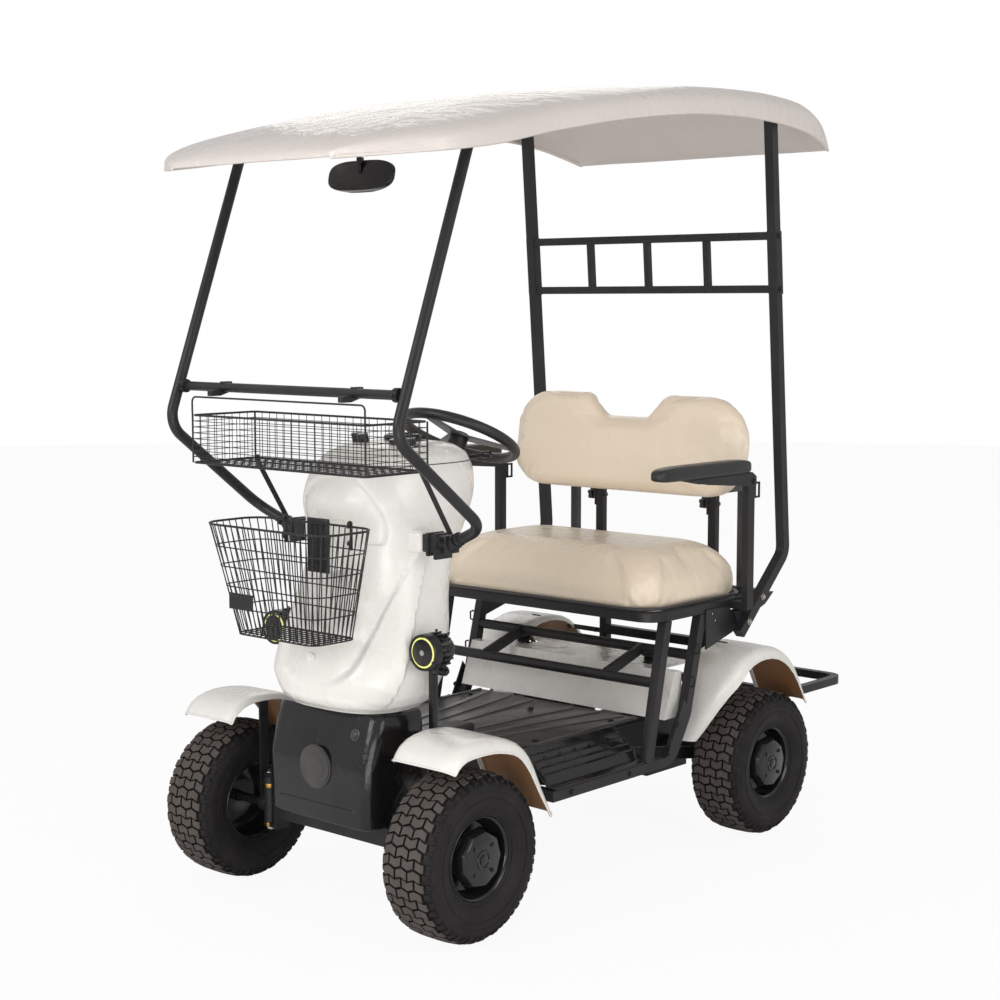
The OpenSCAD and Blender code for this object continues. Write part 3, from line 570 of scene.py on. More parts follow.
# HOOPS, CROSSBAR, MIRROR
HOOP_X = 0.363
CLAMP_Z = 0.846


def hoops():
    for name, side in SIDES:
        bm = bmesh.new()
        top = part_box(f"hoop_{name}")[1][2]
        path = [(HOOP_X, -0.677 + (top - 1.690) * 0.365, top - 0.006), (HOOP_X, -0.893, 1.098), (HOOP_X, -0.628, 0.892), (0.262, -0.610, 0.848)]
        tube(bm, path, 0.0124, bend=0.060, sides=28, steps=14)
        # Clamp casting on the cowl's side pad: two ears, a barrel and its bolts
        block(bm, (0.1925, -0.636, 0.826), (0.262, -0.590, 0.866))
        block(bm, (0.228, -0.6395, 0.812), (0.238, -0.5865, 0.8695))
        block(bm, (0.205, -0.6395, 0.818), (0.214, -0.5865, 0.8695))
        drum(bm, (0.262, -0.612, 0.848), (0.87, -0.15, 0.47), 0.0175, 0.034, 24)
        drum(bm, (0.2865, -0.6165, 0.8605), (0.87, -0.15, 0.47), 0.0160, 0.006, 24)
        soften(bm, 0.0018, 2, 40)
        for z in (0.834, 0.858):
            bolt(bm, (0.250, -0.640, z), (0, -1, 0), 0.0055, 0.005)
        bolt(bm, (0.238, -0.605, 0.842), (1, 0, 0), 0.006, 0.004)
        if side < 0:
            mirror_x(bm)
        piece(bm, f"hoop_{name}_tube", "chassis", "frame_black", replaces=f"hoop_{name}", angle=40)


def crossbar():
    bm = bmesh.new()
    tube(bm, [(-0.350, -0.861, 1.185), (0.350, -0.861, 1.185)], 0.0105, sides=24)
    for x in (-1, 1):
        # Saddle where the bar meets the hoop, with its screw
        drum(bm, (x * 0.341, -0.861, 1.185), (1, 0, 0), 0.0155, 0.014, 20)
        bolt(bm, (x * 0.341, -0.877, 1.185), (0, -1, 0), 0.0045, 0.004)
        # Hook strap that carries the tray's wire
        x0 = x * 0.210
        outline = [(x0 - 0.007, -0.8625, 1.198), (x0 - 0.007, -0.8375, 1.198), (x0 - 0.007, -0.8375, 1.176),
                   (x0 - 0.007, -0.872, 1.1665), (x0 - 0.007, -0.899, 1.1665), (x0 - 0.007, -0.899, 1.1775),
                   (x0 - 0.007, -0.8625, 1.184)]
        plate(bm, outline, (0.014, 0, 0))
    soften(bm, 0.001, 2, 40)
    piece(bm, "hoop_crossbar_bar", "chassis", "frame_black", replaces="hoop_crossbar", angle=40)


def mirror():
    bm = bmesh.new()
    half_w = 0.1025
    half_h = 0.034
    outline = []
    for k in range(40):
        a = 2 * math.pi * k / 40
        c, s = math.cos(a), math.sin(a)
        outline.append((half_w * math.copysign(abs(c) ** 0.55, c), half_h * math.copysign(abs(s) ** 0.7, s)))
    rings = []
    for depth, scale in ((-0.0080, 0.96), (-0.0072, 0.985), (-0.002, 1.0), (0.003, 0.99), (0.0066, 0.90), (0.0080, 0.74)):
        rings.append([(x * scale, depth, z - (1 - scale) * 0.2 * half_h) for x, z in outline])
    skin(bm, rings)
    lean = Matrix.Translation((0, -0.625, 1.655)) @ Matrix.Rotation(math.radians(-12), 4, "X")
    for face in bm.faces:
        if face.calc_center_median().y > 0.0079 and len(face.verts) > 8:
            face.material_index = 1
    # The face looks back towards the rider
    for face in bm.faces:
        if len(face.verts) > 8:
            face.material_index = 1 if face.calc_center_median().y > 0 else 0
    bmesh.ops.transform(bm, matrix=lean, verts=bm.verts)
    tube(bm, [(0, -0.632, 1.664), (0, -0.633, 1.70), (0, -0.632, 1.786)], 0.0048, sides=12)
    drum(bm, (0, -0.630, 1.690), (0, 0, 1), 0.0085, 0.012, 16)
    drum(bm, (0, -0.632, 1.783), (0, 0.2, 1), 0.020, 0.005, 24)
    piece(bm, "mirror_shell", "chassis", ["black_plastic", "mirror_face"], replaces="mirror", angle=38)


# TRAY AND BASKET
def grid_wall(bm, corner, along, up, columns, rows, radius):
    """Flat panel of thin wires: columns and rows of them between two edges."""
    corner, along, up = Vector(corner), Vector(along), Vector(up)
    for k in range(1, columns):
        wire(bm, corner + along * k / columns, corner + along * k / columns + up, radius)
    for k in range(1, rows):
        wire(bm, corner + up * k / rows, corner + up * k / rows + along, radius)


def wire_tray():
    bm = bmesh.new()
    x, front, back, low, top = 0.2775, -0.8925, -0.7075, 1.0145, 1.1215
    for z in (low, top):
        tube(bm, rounded_path([(0, front, z), (x, front, z), (x, back, z), (-x, back, z), (-x, front, z),
                               (0, front, z)], 0.012, 5), 0.0025, sides=8)
    for cx in (-x, x):
        for cy in (front, back):
            wire(bm, (cx, cy, low), (cx, cy, top), 0.0022, 8)
    tall = (0, 0, top - low)
    thin = 0.00085
    grid_wall(bm, (-x, front, low), (2 * x, 0, 0), tall, 22, 8, thin)
    grid_wall(bm, (-x, back, low), (2 * x, 0, 0), tall, 22, 8, thin)
    grid_wall(bm, (-x, front, low), (0, back - front, 0), tall, 8, 8, thin)
    grid_wall(bm, (x, front, low), (0, back - front, 0), tall, 8, 8, thin)
    grid_wall(bm, (-x, front, low), (2 * x, 0, 0), (0, back - front, 0), 22, 8, thin)
    # Hanger wire over the crossbar's hooks
    tube(bm, [(-x, front, top)] + rounded_path([(-x, -0.893, 1.130), (-x, -0.893, 1.163), (x, -0.893, 1.163),
                                                (x, -0.893, 1.130)], 0.012, 5) + [(x, front, top)], 0.0021, sides=8)
    # Feet with screws where the struts hold the tray
    for cx in (-0.266, 0.266):
        block(bm, (cx - 0.009, -0.722, low - 0.0022), (cx + 0.009, -0.700, low + 0.0012))
        bolt(bm, (cx, -0.712, low + 0.001), (0, 0, 1), 0.005, 0.005)
    piece(bm, "wire_tray_grid", "chassis", "frame_black", replaces="wire_tray", angle=50, weld=False)


def basket_loop(t, count=96):
    """Closed level loop of the basket at t from floor 0 to rim 1."""
    half = 0.130 + 0.0675 * t
    front = -0.905 - 0.0375 * t
    back = -0.7745
    z = 0.6425 + 0.245 * t
    corner = 0.030 + 0.022 * t
    path = rounded_path([(0, front, z), (half, front, z), (half, back, z), (-half, back, z), (-half, front, z),
                         (0, front, z)], corner, 8)
    lengths = [0.0]
    for a, b in zip(path, path[1:]):
        lengths.append(lengths[-1] + (b - a).length)
    points = []
    k = 0
    for i in range(count):
        goal = lengths[-1] * i / count
        while lengths[k + 1] < goal:
            k += 1
        share = (goal - lengths[k]) / max(lengths[k + 1] - lengths[k], 1e-9)
        points.append(path[k].lerp(path[k + 1], share))
    return points


def wire_basket():
    bm = bmesh.new()
    for level, radius in ((1.0, 0.0026), (0.80, 0.0015), (0.62, 0.0015), (0.44, 0.0015), (0.24, 0.0015), (0.0, 0.0018)):
        loop = basket_loop(level)
        sweep(bm, loop, circle(radius, 8), closed=True)
    rim, foot = basket_loop(1.0, 56), basket_loop(0.0, 56)
    for a, b in zip(rim, foot):
        wire(bm, a, b, 0.0014)
    floor_z = 0.6425
    for k in range(1, 14):
        x = -0.130 + 0.26 * k / 14
        wire(bm, (x, -0.905, floor_z), (x, -0.7745, floor_z), 0.0013)
    for k in range(1, 8):
        y = -0.905 + 0.1305 * k / 8
        wire(bm, (-0.130, y, floor_z + 0.0024), (0.130, y, floor_z + 0.0024), 0.0013)
    # Plain plate at the front and the perforated hanger plate at the back
    block(bm, (-0.130, -0.9185, 0.700), (-0.052, -0.9165, 0.736))
    piece(bm, "wire_basket_grid", "chassis", "frame_black", replaces="wire_basket", angle=50, weld=False)
    bm = bmesh.new()
    block(bm, (-0.034, -0.7715, 0.776), (0.034, -0.7662, 0.898))
    soften(bm, 0.0015, 2)
    for x in (-0.022, -0.0075, 0.0075, 0.022):
        for k in range(5):
            block(bm, (x - 0.002, -0.7722, 0.790 + 0.022 * k), (x + 0.002, -0.7713, 0.800 + 0.022 * k))
    for x in (-0.105, 0.105):
        tube(bm, rounded_path([(x, -0.769, 0.835), (x, -0.769, 0.897), (x, -0.7775, 0.897), (x, -0.7775, 0.884)],
                              0.004, 4), 0.0035, sides=8)
        bolt(bm, (x, -0.7725, 0.850), (0, -1, 0), 0.005, 0.004)
    piece(bm, "basket_bracket", "chassis", "frame_black", angle=40)


# ROOF
# Along Y, height of the rim's lower edge, height of the crown
ROOF_ROWS = ((-0.960, 1.662, 1.704), (-0.900, 1.668, 1.730), (-0.790, 1.680, 1.765), (-0.650, 1.700, 1.800),
             (-0.480, 1.738, 1.838), (-0.300, 1.770, 1.866), (-0.120, 1.796, 1.890), (0.060, 1.815, 1.908),
             (0.240, 1.822, 1.920), (0.420, 1.815, 1.928), (0.540, 1.800, 1.924), (0.620, 1.780, 1.890),
             (0.668, 1.765, 1.800))


def roof_half(y):
    nose = max(0.0, -0.640 - y) / 0.320
    tail = max(0.0, y - 0.520) / 0.150
    return 0.440 - 0.190 * nose ** 4 - 0.026 * tail * tail


def smooth_row(y):
    """Rim and crown heights between the table's rows."""
    for (y0, r0, c0), (y1, r1, c1) in zip(ROOF_ROWS, ROOF_ROWS[1:]):
        if y <= y1:
            t = (y - y0) / (y1 - y0)
            return r0 + (r1 - r0) * t, c0 + (c1 - c0) * t
    return ROOF_ROWS[-1][1:]


def roof():
    bm = bmesh.new()
    steps = 44
    rows = [row[0] for row in ROOF_ROWS]
    places = []
    for a, b in zip(rows, rows[1:]):
        places += [a, (a + b) / 2]
    places.append(rows[-1])

    def arch(y, inset, flatten, drop):
        rim, crown = smooth_row(y)
        half = roof_half(y) - inset
        ring = []
        for k in range(steps + 1):
            a = math.pi * k / steps
            rise = (crown - rim - drop) * max(0.0, math.sin(a)) ** 0.42
            if flatten is not None:
                rise = min(rise, flatten)
            ring.append((half * math.cos(a), y, rim + rise))
        return ring

    front, rear = places[0], places[-1]
    rings = [arch(front + 0.001, 0.004, 0.004, 0)]
    rings.append(arch(front, 0.0, 0.022, 0))
    rings += [arch(y, 0.0, None, 0.004) for y in places[1:-1]]
    rings.append(arch(rear, 0.0, 0.020, 0))
    rings.append(arch(rear - 0.001, 0.004, 0.002, 0))
    skin(bm, rings, loop=False)
    for v in bm.verts:
        wave = noise.noise(Vector((v.co.x * 5.0, v.co.y * 4.0, 0.3)))
        v.co.z += 0.0016 * wave - 0.0016
    bmesh.ops.recalc_face_normals(bm, faces=bm.faces)
    if sum(f.normal.z for f in bm.faces) < 0:
        bmesh.ops.reverse_faces(bm, faces=bm.faces)
    bmesh.ops.solidify(bm, geom=bm.faces, thickness=0.0045)
    # Rolled rim wire along the lower edge
    edge = [p for p in (Vector((roof_half(y) - 0.005, y, smooth_row(y)[0] + 0.0035)) for y in places)]
    for side in (1, -1):
        sweep(bm, [(side * p.x, p.y, p.z) for p in edge], circle(0.0042, 10))
    obj = piece(bm, "roof_shell", "chassis", "roof_white", replaces="roof", angle=60, levels=1, outward=False)
    return obj


hoops()
crossbar()
mirror()
wire_tray()
wire_basket()
roof()


# COWL, PANEL, LAMPS
# Height, middle along Y, half width, half depth
COWL_ROWS = ((0.465, -0.655, 0.160, 0.118), (0.480, -0.654, 0.176, 0.134), (0.500, -0.650, 0.187, 0.144),
             (0.560, -0.632, 0.198, 0.150), (0.640, -0.610, 0.188, 0.140), (0.720, -0.590, 0.172, 0.132),
             (0.800, -0.575, 0.163, 0.142), (0.860, -0.560, 0.166, 0.165), (0.930, -0.548, 0.170, 0.188),
             (0.990, -0.535, 0.164, 0.180), (1.030, -0.522, 0.142, 0.154), (1.050, -0.514, 0.108, 0.116),
             (1.0565, -0.510, 0.060, 0.064), (1.0575, -0.510, 0.020, 0.020))
RIDGE = ((-0.600, 0.835), (-0.752, 0.520))


def between(rows, z):
    """Smooth value of a table's rows at z."""
    for k in range(len(rows) - 1):
        if z <= rows[k + 1][0] or k == len(rows) - 2:
            p0, p1, p2, p3 = rows[max(k - 1, 0)], rows[k], rows[k + 1], rows[min(k + 2, len(rows) - 1)]
            t = (z - p1[0]) / (p2[0] - p1[0])
            found = []
            for a, b, c, d in zip(p0[1:], p1[1:], p2[1:], p3[1:]):
                found.append(0.5 * (2 * b + (c - a) * t + (2 * a - 5 * b + 4 * c - d) * t * t
                                    + (3 * b - a - 3 * c + d) * t * t * t))
            return found


def cowl():
    bm = bmesh.new()
    levels = [0.465 + (1.030 - 0.465) * k / 144 for k in range(145)] + [1.036, 1.042, 1.047, 1.051, 1.054, 1.0565, 1.0575]
    rings = []
    for z in levels:
        y, w, d = between(COWL_ROWS, z)
        ring = []
        for k in range(180):
            a = 2 * math.pi * k / 180
            c, s = math.cos(a), math.sin(a)
            x = w * math.copysign(abs(c) ** 0.75, c)
            py = y + d * math.copysign(abs(s) ** 0.75, s)
            ring.append(Vector((x, py, z)))
        rings.append(ring)
    skin(bm, rings)
    bmesh.ops.recalc_face_normals(bm, faces=bm.faces)
    bm.normal_update()
    top, foot = Vector(RIDGE[0]), Vector(RIDGE[1])
    run = foot - top
    moves = []
    for v in bm.verts:
        at = Vector((v.co.y, v.co.z))
        t = (at - top).dot(run) / run.length_squared
        off = (at - top - run * t)
        gap = off.length * (1 if off.x < 0 else -1)
        wide = 0.020 + 0.020 * min(max(t, 0), 1)
        lift = 0.0
        if -0.04 < t < 1.08 and abs(v.co.x) > 0.035:
            edge = min(1.0, max(0.0, (wide - abs(gap)) / 0.0055))
            ends = min(1.0, (t + 0.04) / 0.06, (1.08 - t) / 0.12)
            lift = 0.0125 * edge * max(0.0, ends)
        # Crease round the chin and a shallow arch in the head's front
        if v.co.z < 0.540:
            lift -= 0.004 * (0.540 - v.co.z) / 0.075
        head = (v.co.x / 0.135) ** 2 + ((v.co.z - 0.880) / 0.115) ** 2
        if v.co.y < -0.64 and v.co.z > 0.84:
            lift -= 0.0060 * min(1.0, max(0.0, (1.0 - head) / 0.09))
        moves.append((v, v.normal * lift))
    for v, move in moves:
        v.co += move
        v.co.z = min(v.co.z, 1.0578)
    for side in (-1, 1):
        low, high = sorted((side * 0.12, side * 0.1915))
        boss = set(block(bm, (low, -0.641, 0.8205), (high, -0.5855, 0.8715)))
        rims = [e for e in bm.edges if boss.issuperset(e.verts)]
        bmesh.ops.bevel(bm, geom=rims, offset=0.012, segments=4, profile=0.5, affect="EDGES", material=-1)
    drum(bm, (0, -0.305 - 0.112 * 0.4384, 1.056 - 0.112 * 0.8988), (0, 0.4384, 0.8988), 0.0318, 0.079, 40)
    block(bm, (-0.034, -0.7656, 0.781), (0.034, -0.690, 0.893))
    drum(bm, (-0.020, -0.7765, 0.580), (0, -1, 0), 0.0125, 0.006, 32)
    drum(bm, (-0.020, -0.7795, 0.580), (0, -1, 0), 0.0080, 0.004, 24)
    piece(bm, "cowl_skin", "chassis", "white_plastic", replaces="cowl", angle=32)
    # Fine seam round the head
    bm = bmesh.new()
    for z in (1.0125,):
        y, w, d = between(COWL_ROWS, z)
        ring = []
        for k in range(96):
            a = 2 * math.pi * k / 96
            c, s = math.cos(a), math.sin(a)
            ring.append((w * math.copysign(abs(c) ** 0.75, c), y + d * math.copysign(abs(s) ** 0.75, s), z))
        sweep(bm, ring, circle(0.0013, 6), closed=True)
    piece(bm, "cowl_seam", "chassis", "dark_plastic", angle=60)


def dash():
    bm = bmesh.new()
    spin(bm, [(0, 0.0), (0, 0.044), (0.008, 0.044), (0.012, 0.040), (0.0135, 0.034), (0.0115, 0.033), (0.0115, 0.0)],
         (0, -0.500, 1.0585), (0, 0, 1), steps=48, closed=False)
    # Needle and hub of the dial
    block(bm, (-0.0012, -0.502, 1.0703), (0.0012, -0.476, 1.0712))
    drum(bm, (0, -0.500, 1.071), (0, 0, 1), 0.004, 0.003, 16)
    for x, y, r, h in ((-0.085, -0.560, 0.013, 0.020), (-0.050, -0.575, 0.013, 0.020), (0.085, -0.560, 0.0145, 0.014),
                       (0.055, -0.580, 0.010, 0.012)):
        z = 1.040
        drum(bm, (x, y, z + 0.004), (0, -0.25, 1), r * 1.35, 0.014, 28)
        drum(bm, (x, y - 0.004, z + 0.014 + h / 2), (0, -0.25, 1), r, h, 12)
    # Grip levers beside the column
    for side in (-1, 1):
        tube(bm, [(side * 0.028, -0.352, 0.998), (side * 0.070, -0.345, 1.012), (side * 0.105, -0.335, 1.018)], 0.0048,
             bend=0.02, sides=12)
        drum(bm, (side * 0.112, -0.333, 1.019), (side * 0.95, 0.25, 0.1), 0.008, 0.020, 16)
    soften(bm, 0.0012, 2, 40)
    piece(bm, "dash_dials", "chassis", "black_plastic", replaces="dash", angle=35)


def front_panel():
    bm = bmesh.new()
    rings = []
    levels = ((0.2145, 0.965), (0.2165, 0.985), (0.222, 1.0), (0.30, 1.0), (0.348, 1.0), (0.360, 1.0), (0.400, 1.0),
              (0.440, 0.995), (0.458, 0.98), (0.4640, 0.955))
    for z, scale in levels:
        lean = 0.034 * max(0.0, (z - 0.350) / 0.115)
        path = rounded_path([(0, -0.596, 0), (-0.169, -0.596, 0), (-0.169, -0.784, 0), (0.169, -0.784, 0),
                             (0.169, -0.596, 0), (0, -0.596, 0)], 0.032, 10)[:-1]
        ring = []
        for p in path:
            y = p.y
            if y > -0.65:
                y = min(-0.596, y)
            front = (-0.596 - y) / 0.188
            ring.append((p.x * scale, -0.69 + (y + 0.69) * scale + lean * front, z))
        rings.append(ring)
    skin(bm, rings)
    for z in (0.255,):
        # Pressed line low across the panel
        path = [(x, -0.7835 + (0.0 if abs(x) < 0.11 else (abs(x) - 0.11) ** 2 * 9), z) for x in
                [-0.15 + 0.3 * k / 24 for k in range(25)]]
        tube(bm, path, 0.0022, sides=8)
    piece(bm, "front_panel_skin", "chassis", "black_plastic", replaces="front_panel", angle=40)
    bm = bmesh.new()
    lean = (0, -1, 0)
    face_y = -0.784
    drum(bm, (0, face_y - 0.0005, 0.338), lean, 0.050, 0.005, 56)
    drum(bm, (0, face_y - 0.003, 0.3384), lean, 0.046, 0.004, 56)
    drum(bm, (0, face_y - 0.005, 0.3386), lean, 0.030, 0.002, 48)
    lean = (0, -1, 0.296)
    face_y = -0.784 + 0.034 * (0.422 - 0.350) / 0.115 + 0.0015
    drum(bm, (0.106, face_y, 0.422), lean, 0.014, 0.006, 28)
    drum(bm, (0.106, face_y - 0.004, 0.4225), lean, 0.010, 0.004, 6)
    drum(bm, (0.106, face_y - 0.0065, 0.4225), lean, 0.0055, 0.003, 16)
    soften(bm, 0.0008, 2, 40)
    piece(bm, "front_panel_caps", "chassis", "dark_plastic", angle=35)


def headlamps():
    x0, y0, z0 = 0.242, -0.690, 0.613
    for name, side in SIDES:
        bm = bmesh.new()
        # Housing with its cooling fins, axis along Y
        spin(bm, [(0.0, 0.0), (0.0, 0.030), (0.004, 0.030), (0.006, 0.0345), (0.000, 0.0365), (0.000, 0.040),
                  (0.010, 0.0415), (0.024, 0.0415), (0.030, 0.037), (0.064, 0.034), (0.078, 0.026), (0.083, 0.014),
                  (0.083, 0.0)], (x0, y0, z0), (0, 1, 0), steps=48, closed=False)
        for k in range(16):
            a = 2 * math.pi * k / 16
            turn = Matrix.Rotation(a, 4, "Y")
            block_at = Matrix.Translation((x0, y0 + 0.046, z0)) @ turn @ Matrix.Translation((0, 0, 0.0365))
            bmesh.ops.create_cube(bm, size=1.0, matrix=block_at @ Matrix.Diagonal((0.0045, 0.030, 0.009, 1)))
        for k in range(3):
            a = math.radians(90 + 120 * k)
            bolt(bm, (x0 + 0.0372 * math.cos(a), y0 + 0.0008, z0 + 0.0372 * math.sin(a)), (0, -1, 0), 0.0028, 0.0015)
        # Clamp, post and foot
        drum(bm, (x0, y0 + 0.058, z0 - 0.047), (1, 0, 0), 0.011, 0.034, 20)
        block(bm, (x0 - 0.004, y0 + 0.047, z0 - 0.045), (x0 + 0.004, y0 + 0.069, z0 - 0.030))
        block(bm, (0.2065, -0.6325, 0.401), (0.2215, -0.6175, 0.5895))
        block(bm, (0.1705, -0.6325, 0.401), (0.2215, -0.6175, 0.4155))
        tube(bm, [(0.214, -0.625, 0.575), (0.228, -0.627, 0.572), (x0 + 0.001, y0 + 0.058, z0 - 0.052)], 0.0062,
             bend=0.015, sides=12)
        bolt(bm, (x0 + 0.017, y0 + 0.058, z0 - 0.047), (1, 0, 0), 0.006, 0.005)
        bolt(bm, (0.2215, -0.625, 0.560), (1, 0, 0), 0.005, 0.004)
        # Short stalks with plugs above the clamp
        for dx, dz in ((0.012, 0.040), (-0.012, 0.042)):
            wire(bm, (x0 + dx, y0 + 0.060, z0 + 0.020), (x0 + dx * 1.6, y0 + 0.066, z0 + dz), 0.0032, 10)
        soften(bm, 0.0009, 2, 40)
        if side < 0:
            mirror_x(bm)
        piece(bm, f"headlamp_{name}_body", "chassis", "black_plastic", angle=35)
        # Ring round the lens, carrying its painted glow
        bm = bmesh.new()
        spin(bm, [(-0.0016 * math.cos(a), 0.0315 + 0.0027 * math.sin(a)) for a in
                  [2 * math.pi * k / 10 for k in range(10)]], (x0, y0 + 0.0025, z0), (0, 1, 0), steps=56)
        if side < 0:
            mirror_x(bm)
        piece(bm, f"headlamp_{name}_ring", "chassis", "ring_yellow", angle=60)
        bm = bmesh.new()
        spin(bm, [(0.0035, 0.0295), (-0.0005, 0.026), (-0.0040, 0.019), (-0.0060, 0.010), (-0.0066, 0.0001),
                  (0.004, 0.0001), (0.006, 0.0295)], (x0, y0 + 0.008, z0), (0, 1, 0), steps=48)
        if side < 0:
            mirror_x(bm)
        piece(bm, f"headlamp_{name}_lens", "chassis", "lamp_glass", angle=60)
        bm = bmesh.new()
        spin(bm, [(-0.0012, 0.0205), (-0.0022, 0.0195), (-0.0012, 0.0185), (0.0010, 0.0190)], (x0, y0 + 0.004, z0),
             (0, 1, 0), steps=40)
        drum(bm, (x0, y0 + 0.0008, z0), (0, 1, 0), 0.0062, 0.0040, 24)
        if side < 0:
            mirror_x(bm)
        piece(bm, f"headlamp_{name}_reflector", "chassis", "steel", angle=60)
    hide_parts("headlamps")


# Fenders
FRONT_FENDER = ((-0.468, 0.250), (-0.484, 0.281), (-0.500, 0.310), (-0.515, 0.340), (-0.528, 0.366), (-0.543, 0.390),
                (-0.560, 0.409), (-0.579, 0.4235), (-0.600, 0.434), (-0.625, 0.4415), (-0.650, 0.447), (-0.675, 0.4503),
                (-0.700, 0.4515), (-0.725, 0.4513), (-0.750, 0.448), (-0.771, 0.442), (-0.790, 0.431), (-0.803, 0.418),
                (-0.812, 0.404))
REAR_FENDER = ((0.200, 0.270), (0.2005, 0.300), (0.202, 0.330), (0.2065, 0.366), (0.215, 0.400), (0.228, 0.430),
               (0.245, 0.455), (0.270, 0.477), (0.300, 0.491), (0.335, 0.500), (0.370, 0.5025), (0.405, 0.500),
               (0.440, 0.4915), (0.472, 0.477), (0.500, 0.456), (0.524, 0.430), (0.545, 0.400), (0.564, 0.367),
               (0.580, 0.335))


def fender(name, side, rows, axle_y, inner, body, narrow):
    """Arched shell over a wheel with a rolled outer wall; narrow gives the outer edge at each row."""
    bm = bmesh.new()
    rings = []
    centre = Vector((axle_y, WHEEL_Z + 0.02))
    for k, (y, z) in enumerate(rows):
        y0, z0 = rows[max(k - 1, 0)]
        y1, z1 = rows[min(k + 1, len(rows) - 1)]
        normal = Vector((z1 - z0, -(y1 - y0))).normalized()
        if normal.dot(Vector((y, z)) - centre) < 0:
            normal = -normal
        outer = narrow(y, z)
        share = k / (len(rows) - 1)
        wall = 0.016 + 0.014 * min(1.0, 3 * min(share, 1 - share) + 0.2)
        section = ((inner, -0.012), (inner + 0.002, -0.004), (inner + 0.010, 0.0)) + tuple(
            (inner + 0.010 + (outer - 0.030 - inner - 0.010) * j / 6, 0.0 - 0.0018 * (j / 6) ** 2) for j in range(1, 7)) + (
            (outer - 0.018, -0.0035), (outer - 0.008, -0.0085), (outer - 0.002, -0.0155), (outer, -wall))
        rings.append([Vector((x, y + normal.x * d, z + normal.y * d)) for x, d in section])
    skin(bm, rings, loop=False)
    bmesh.ops.recalc_face_normals(bm, faces=bm.faces)
    outward = sum(f.normal.dot(f.calc_center_median() - Vector((0.35, axle_y, WHEEL_Z))) for f in bm.faces)
    if outward < 0:
        bmesh.ops.reverse_faces(bm, faces=bm.faces)
    shell = set(bm.faces)
    bmesh.ops.solidify(bm, geom=list(bm.faces), thickness=0.0035)
    bm.normal_update()
    # Inward faces of the shell take the tan finish: painted warm light from the floor's reflection and light through
    # the plastic
    hub = Vector((0.36, axle_y, WHEEL_Z))
    for face in bm.faces:
        middle = face.calc_center_median()
        inward = face.normal.dot(Vector((0, middle.y - hub.y, middle.z - hub.z)).normalized())
        side_in = face.normal.x < -0.4 and middle.x > 0.40
        face.material_index = 1 if (inward < -0.35 or side_in) and face not in shell else 0
    # Beaded edge all round
    for edge in (rings[0], rings[-1], [r[-1] for r in rings], [r[0] for r in rings]):
        sweep(bm, [p - Vector((0, 0, 0.0008)) for p in edge], circle(0.0024, 8))
    if side < 0:
        mirror_x(bm)
    piece(bm, name, body, ["white_plastic", "fender_tan"], angle=50, outward=False)


def fenders():
    for label, side in SIDES:
        fender(f"fender_front_{label}_shell", side, FRONT_FENDER, FRONT_AXLE, 0.2655, f"knuckle_{label}",
               lambda y, z: 0.4385)
        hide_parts(f"fender_front_{label}")
        fender(f"fender_rear_{label}_shell", side, REAR_FENDER, REAR_AXLE, 0.2812, "chassis",
               lambda y, z: 0.4385 if y > 0.25 else 0.330 + 0.1085 * min(1.0, max(0.0, (z - 0.270) / 0.175)) ** 0.9)
        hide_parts(f"fender_rear_{label}")
        bm = bmesh.new()
        block(bm, (0.1829, 0.4802, 0.4502), (0.2840, 0.4838, 0.4638))
        # Stay from the seat rail to the fender's crown with its bolts
        block(bm, (0.300, 0.352, 0.500), (0.330, 0.356, 0.5035))
        bolt(bm, (0.300, 0.4802, 0.457), (0, -1, 0), 0.0055, 0.004)
        bolt(bm, (0.205, 0.4802, 0.457), (0, -1, 0), 0.0055, 0.004)
        soften(bm, 0.0008, 1, 40)
        if side < 0:
            mirror_x(bm)
        piece(bm, f"fender_rear_{label}_tab", "chassis", "frame_black", angle=35)


# FLOOR
FLOOR_Z = 0.3408


def floor_pan():
    bm = bmesh.new()
    outline = [(-0.160, -0.560), (0.160, -0.560), (0.160, -0.400), (0.264, -0.330), (0.264, 0.063), (-0.264, 0.063),
               (-0.264, -0.330), (-0.160, -0.400)]
    plate(bm, [(x, y, FLOOR_Z) for x, y in outline], (0, 0, 0.0045))
    soften(bm, 0.0015, 2, 30)
    # Pressed ribs that fan out towards the rear, and the raised welt round the edge
    top = FLOOR_Z + 0.0045
    flat = [(-0.011, 0.0), (-0.008, 0.0030), (0.008, 0.0030), (0.011, 0.0)]
    for side in (-1, 1):
        for x0, x1, x2, y1 in ((0.030, 0.045, 0.070, 0.040), (0.072, 0.105, 0.150, 0.045), (0.115, 0.165, 0.225, 0.048)):
            path = []
            for k in range(25):
                t = k / 24
                path.append((side * (x0 * (1 - t) ** 2 + 2 * x1 * t * (1 - t) * 0.92 + x2 * t * t),
                             -0.47 + (y1 + 0.47) * t, top - 0.0006))
            sweep(bm, path, flat)
        sweep(bm, [(side * x, y, top) for x, y in ((0.154, -0.556), (0.154, -0.398), (0.258, -0.327), (0.258, 0.057))],
              [(-0.004, -0.001), (-0.0025, 0.0035), (0.0025, 0.0035), (0.004, -0.001)])
    piece(bm, "floor_pan_ribbed", "chassis", "dark_plastic", replaces="floor_pan", angle=30)
    bm = bmesh.new()
    for x, y in ((-0.235, -0.300), (-0.235, -0.010), (0.235, -0.300), (0.235, -0.010), (0.0, -0.040), (-0.13, -0.38),
                 (0.13, -0.38), (0.0, -0.30), (-0.090, -0.520), (0.090, -0.520)):
        bolt(bm, (x, y, top), (0, 0, 1), 0.006, 0.0035)
    piece(bm, "floor_pan_bolts", "chassis", "frame_black", angle=35)


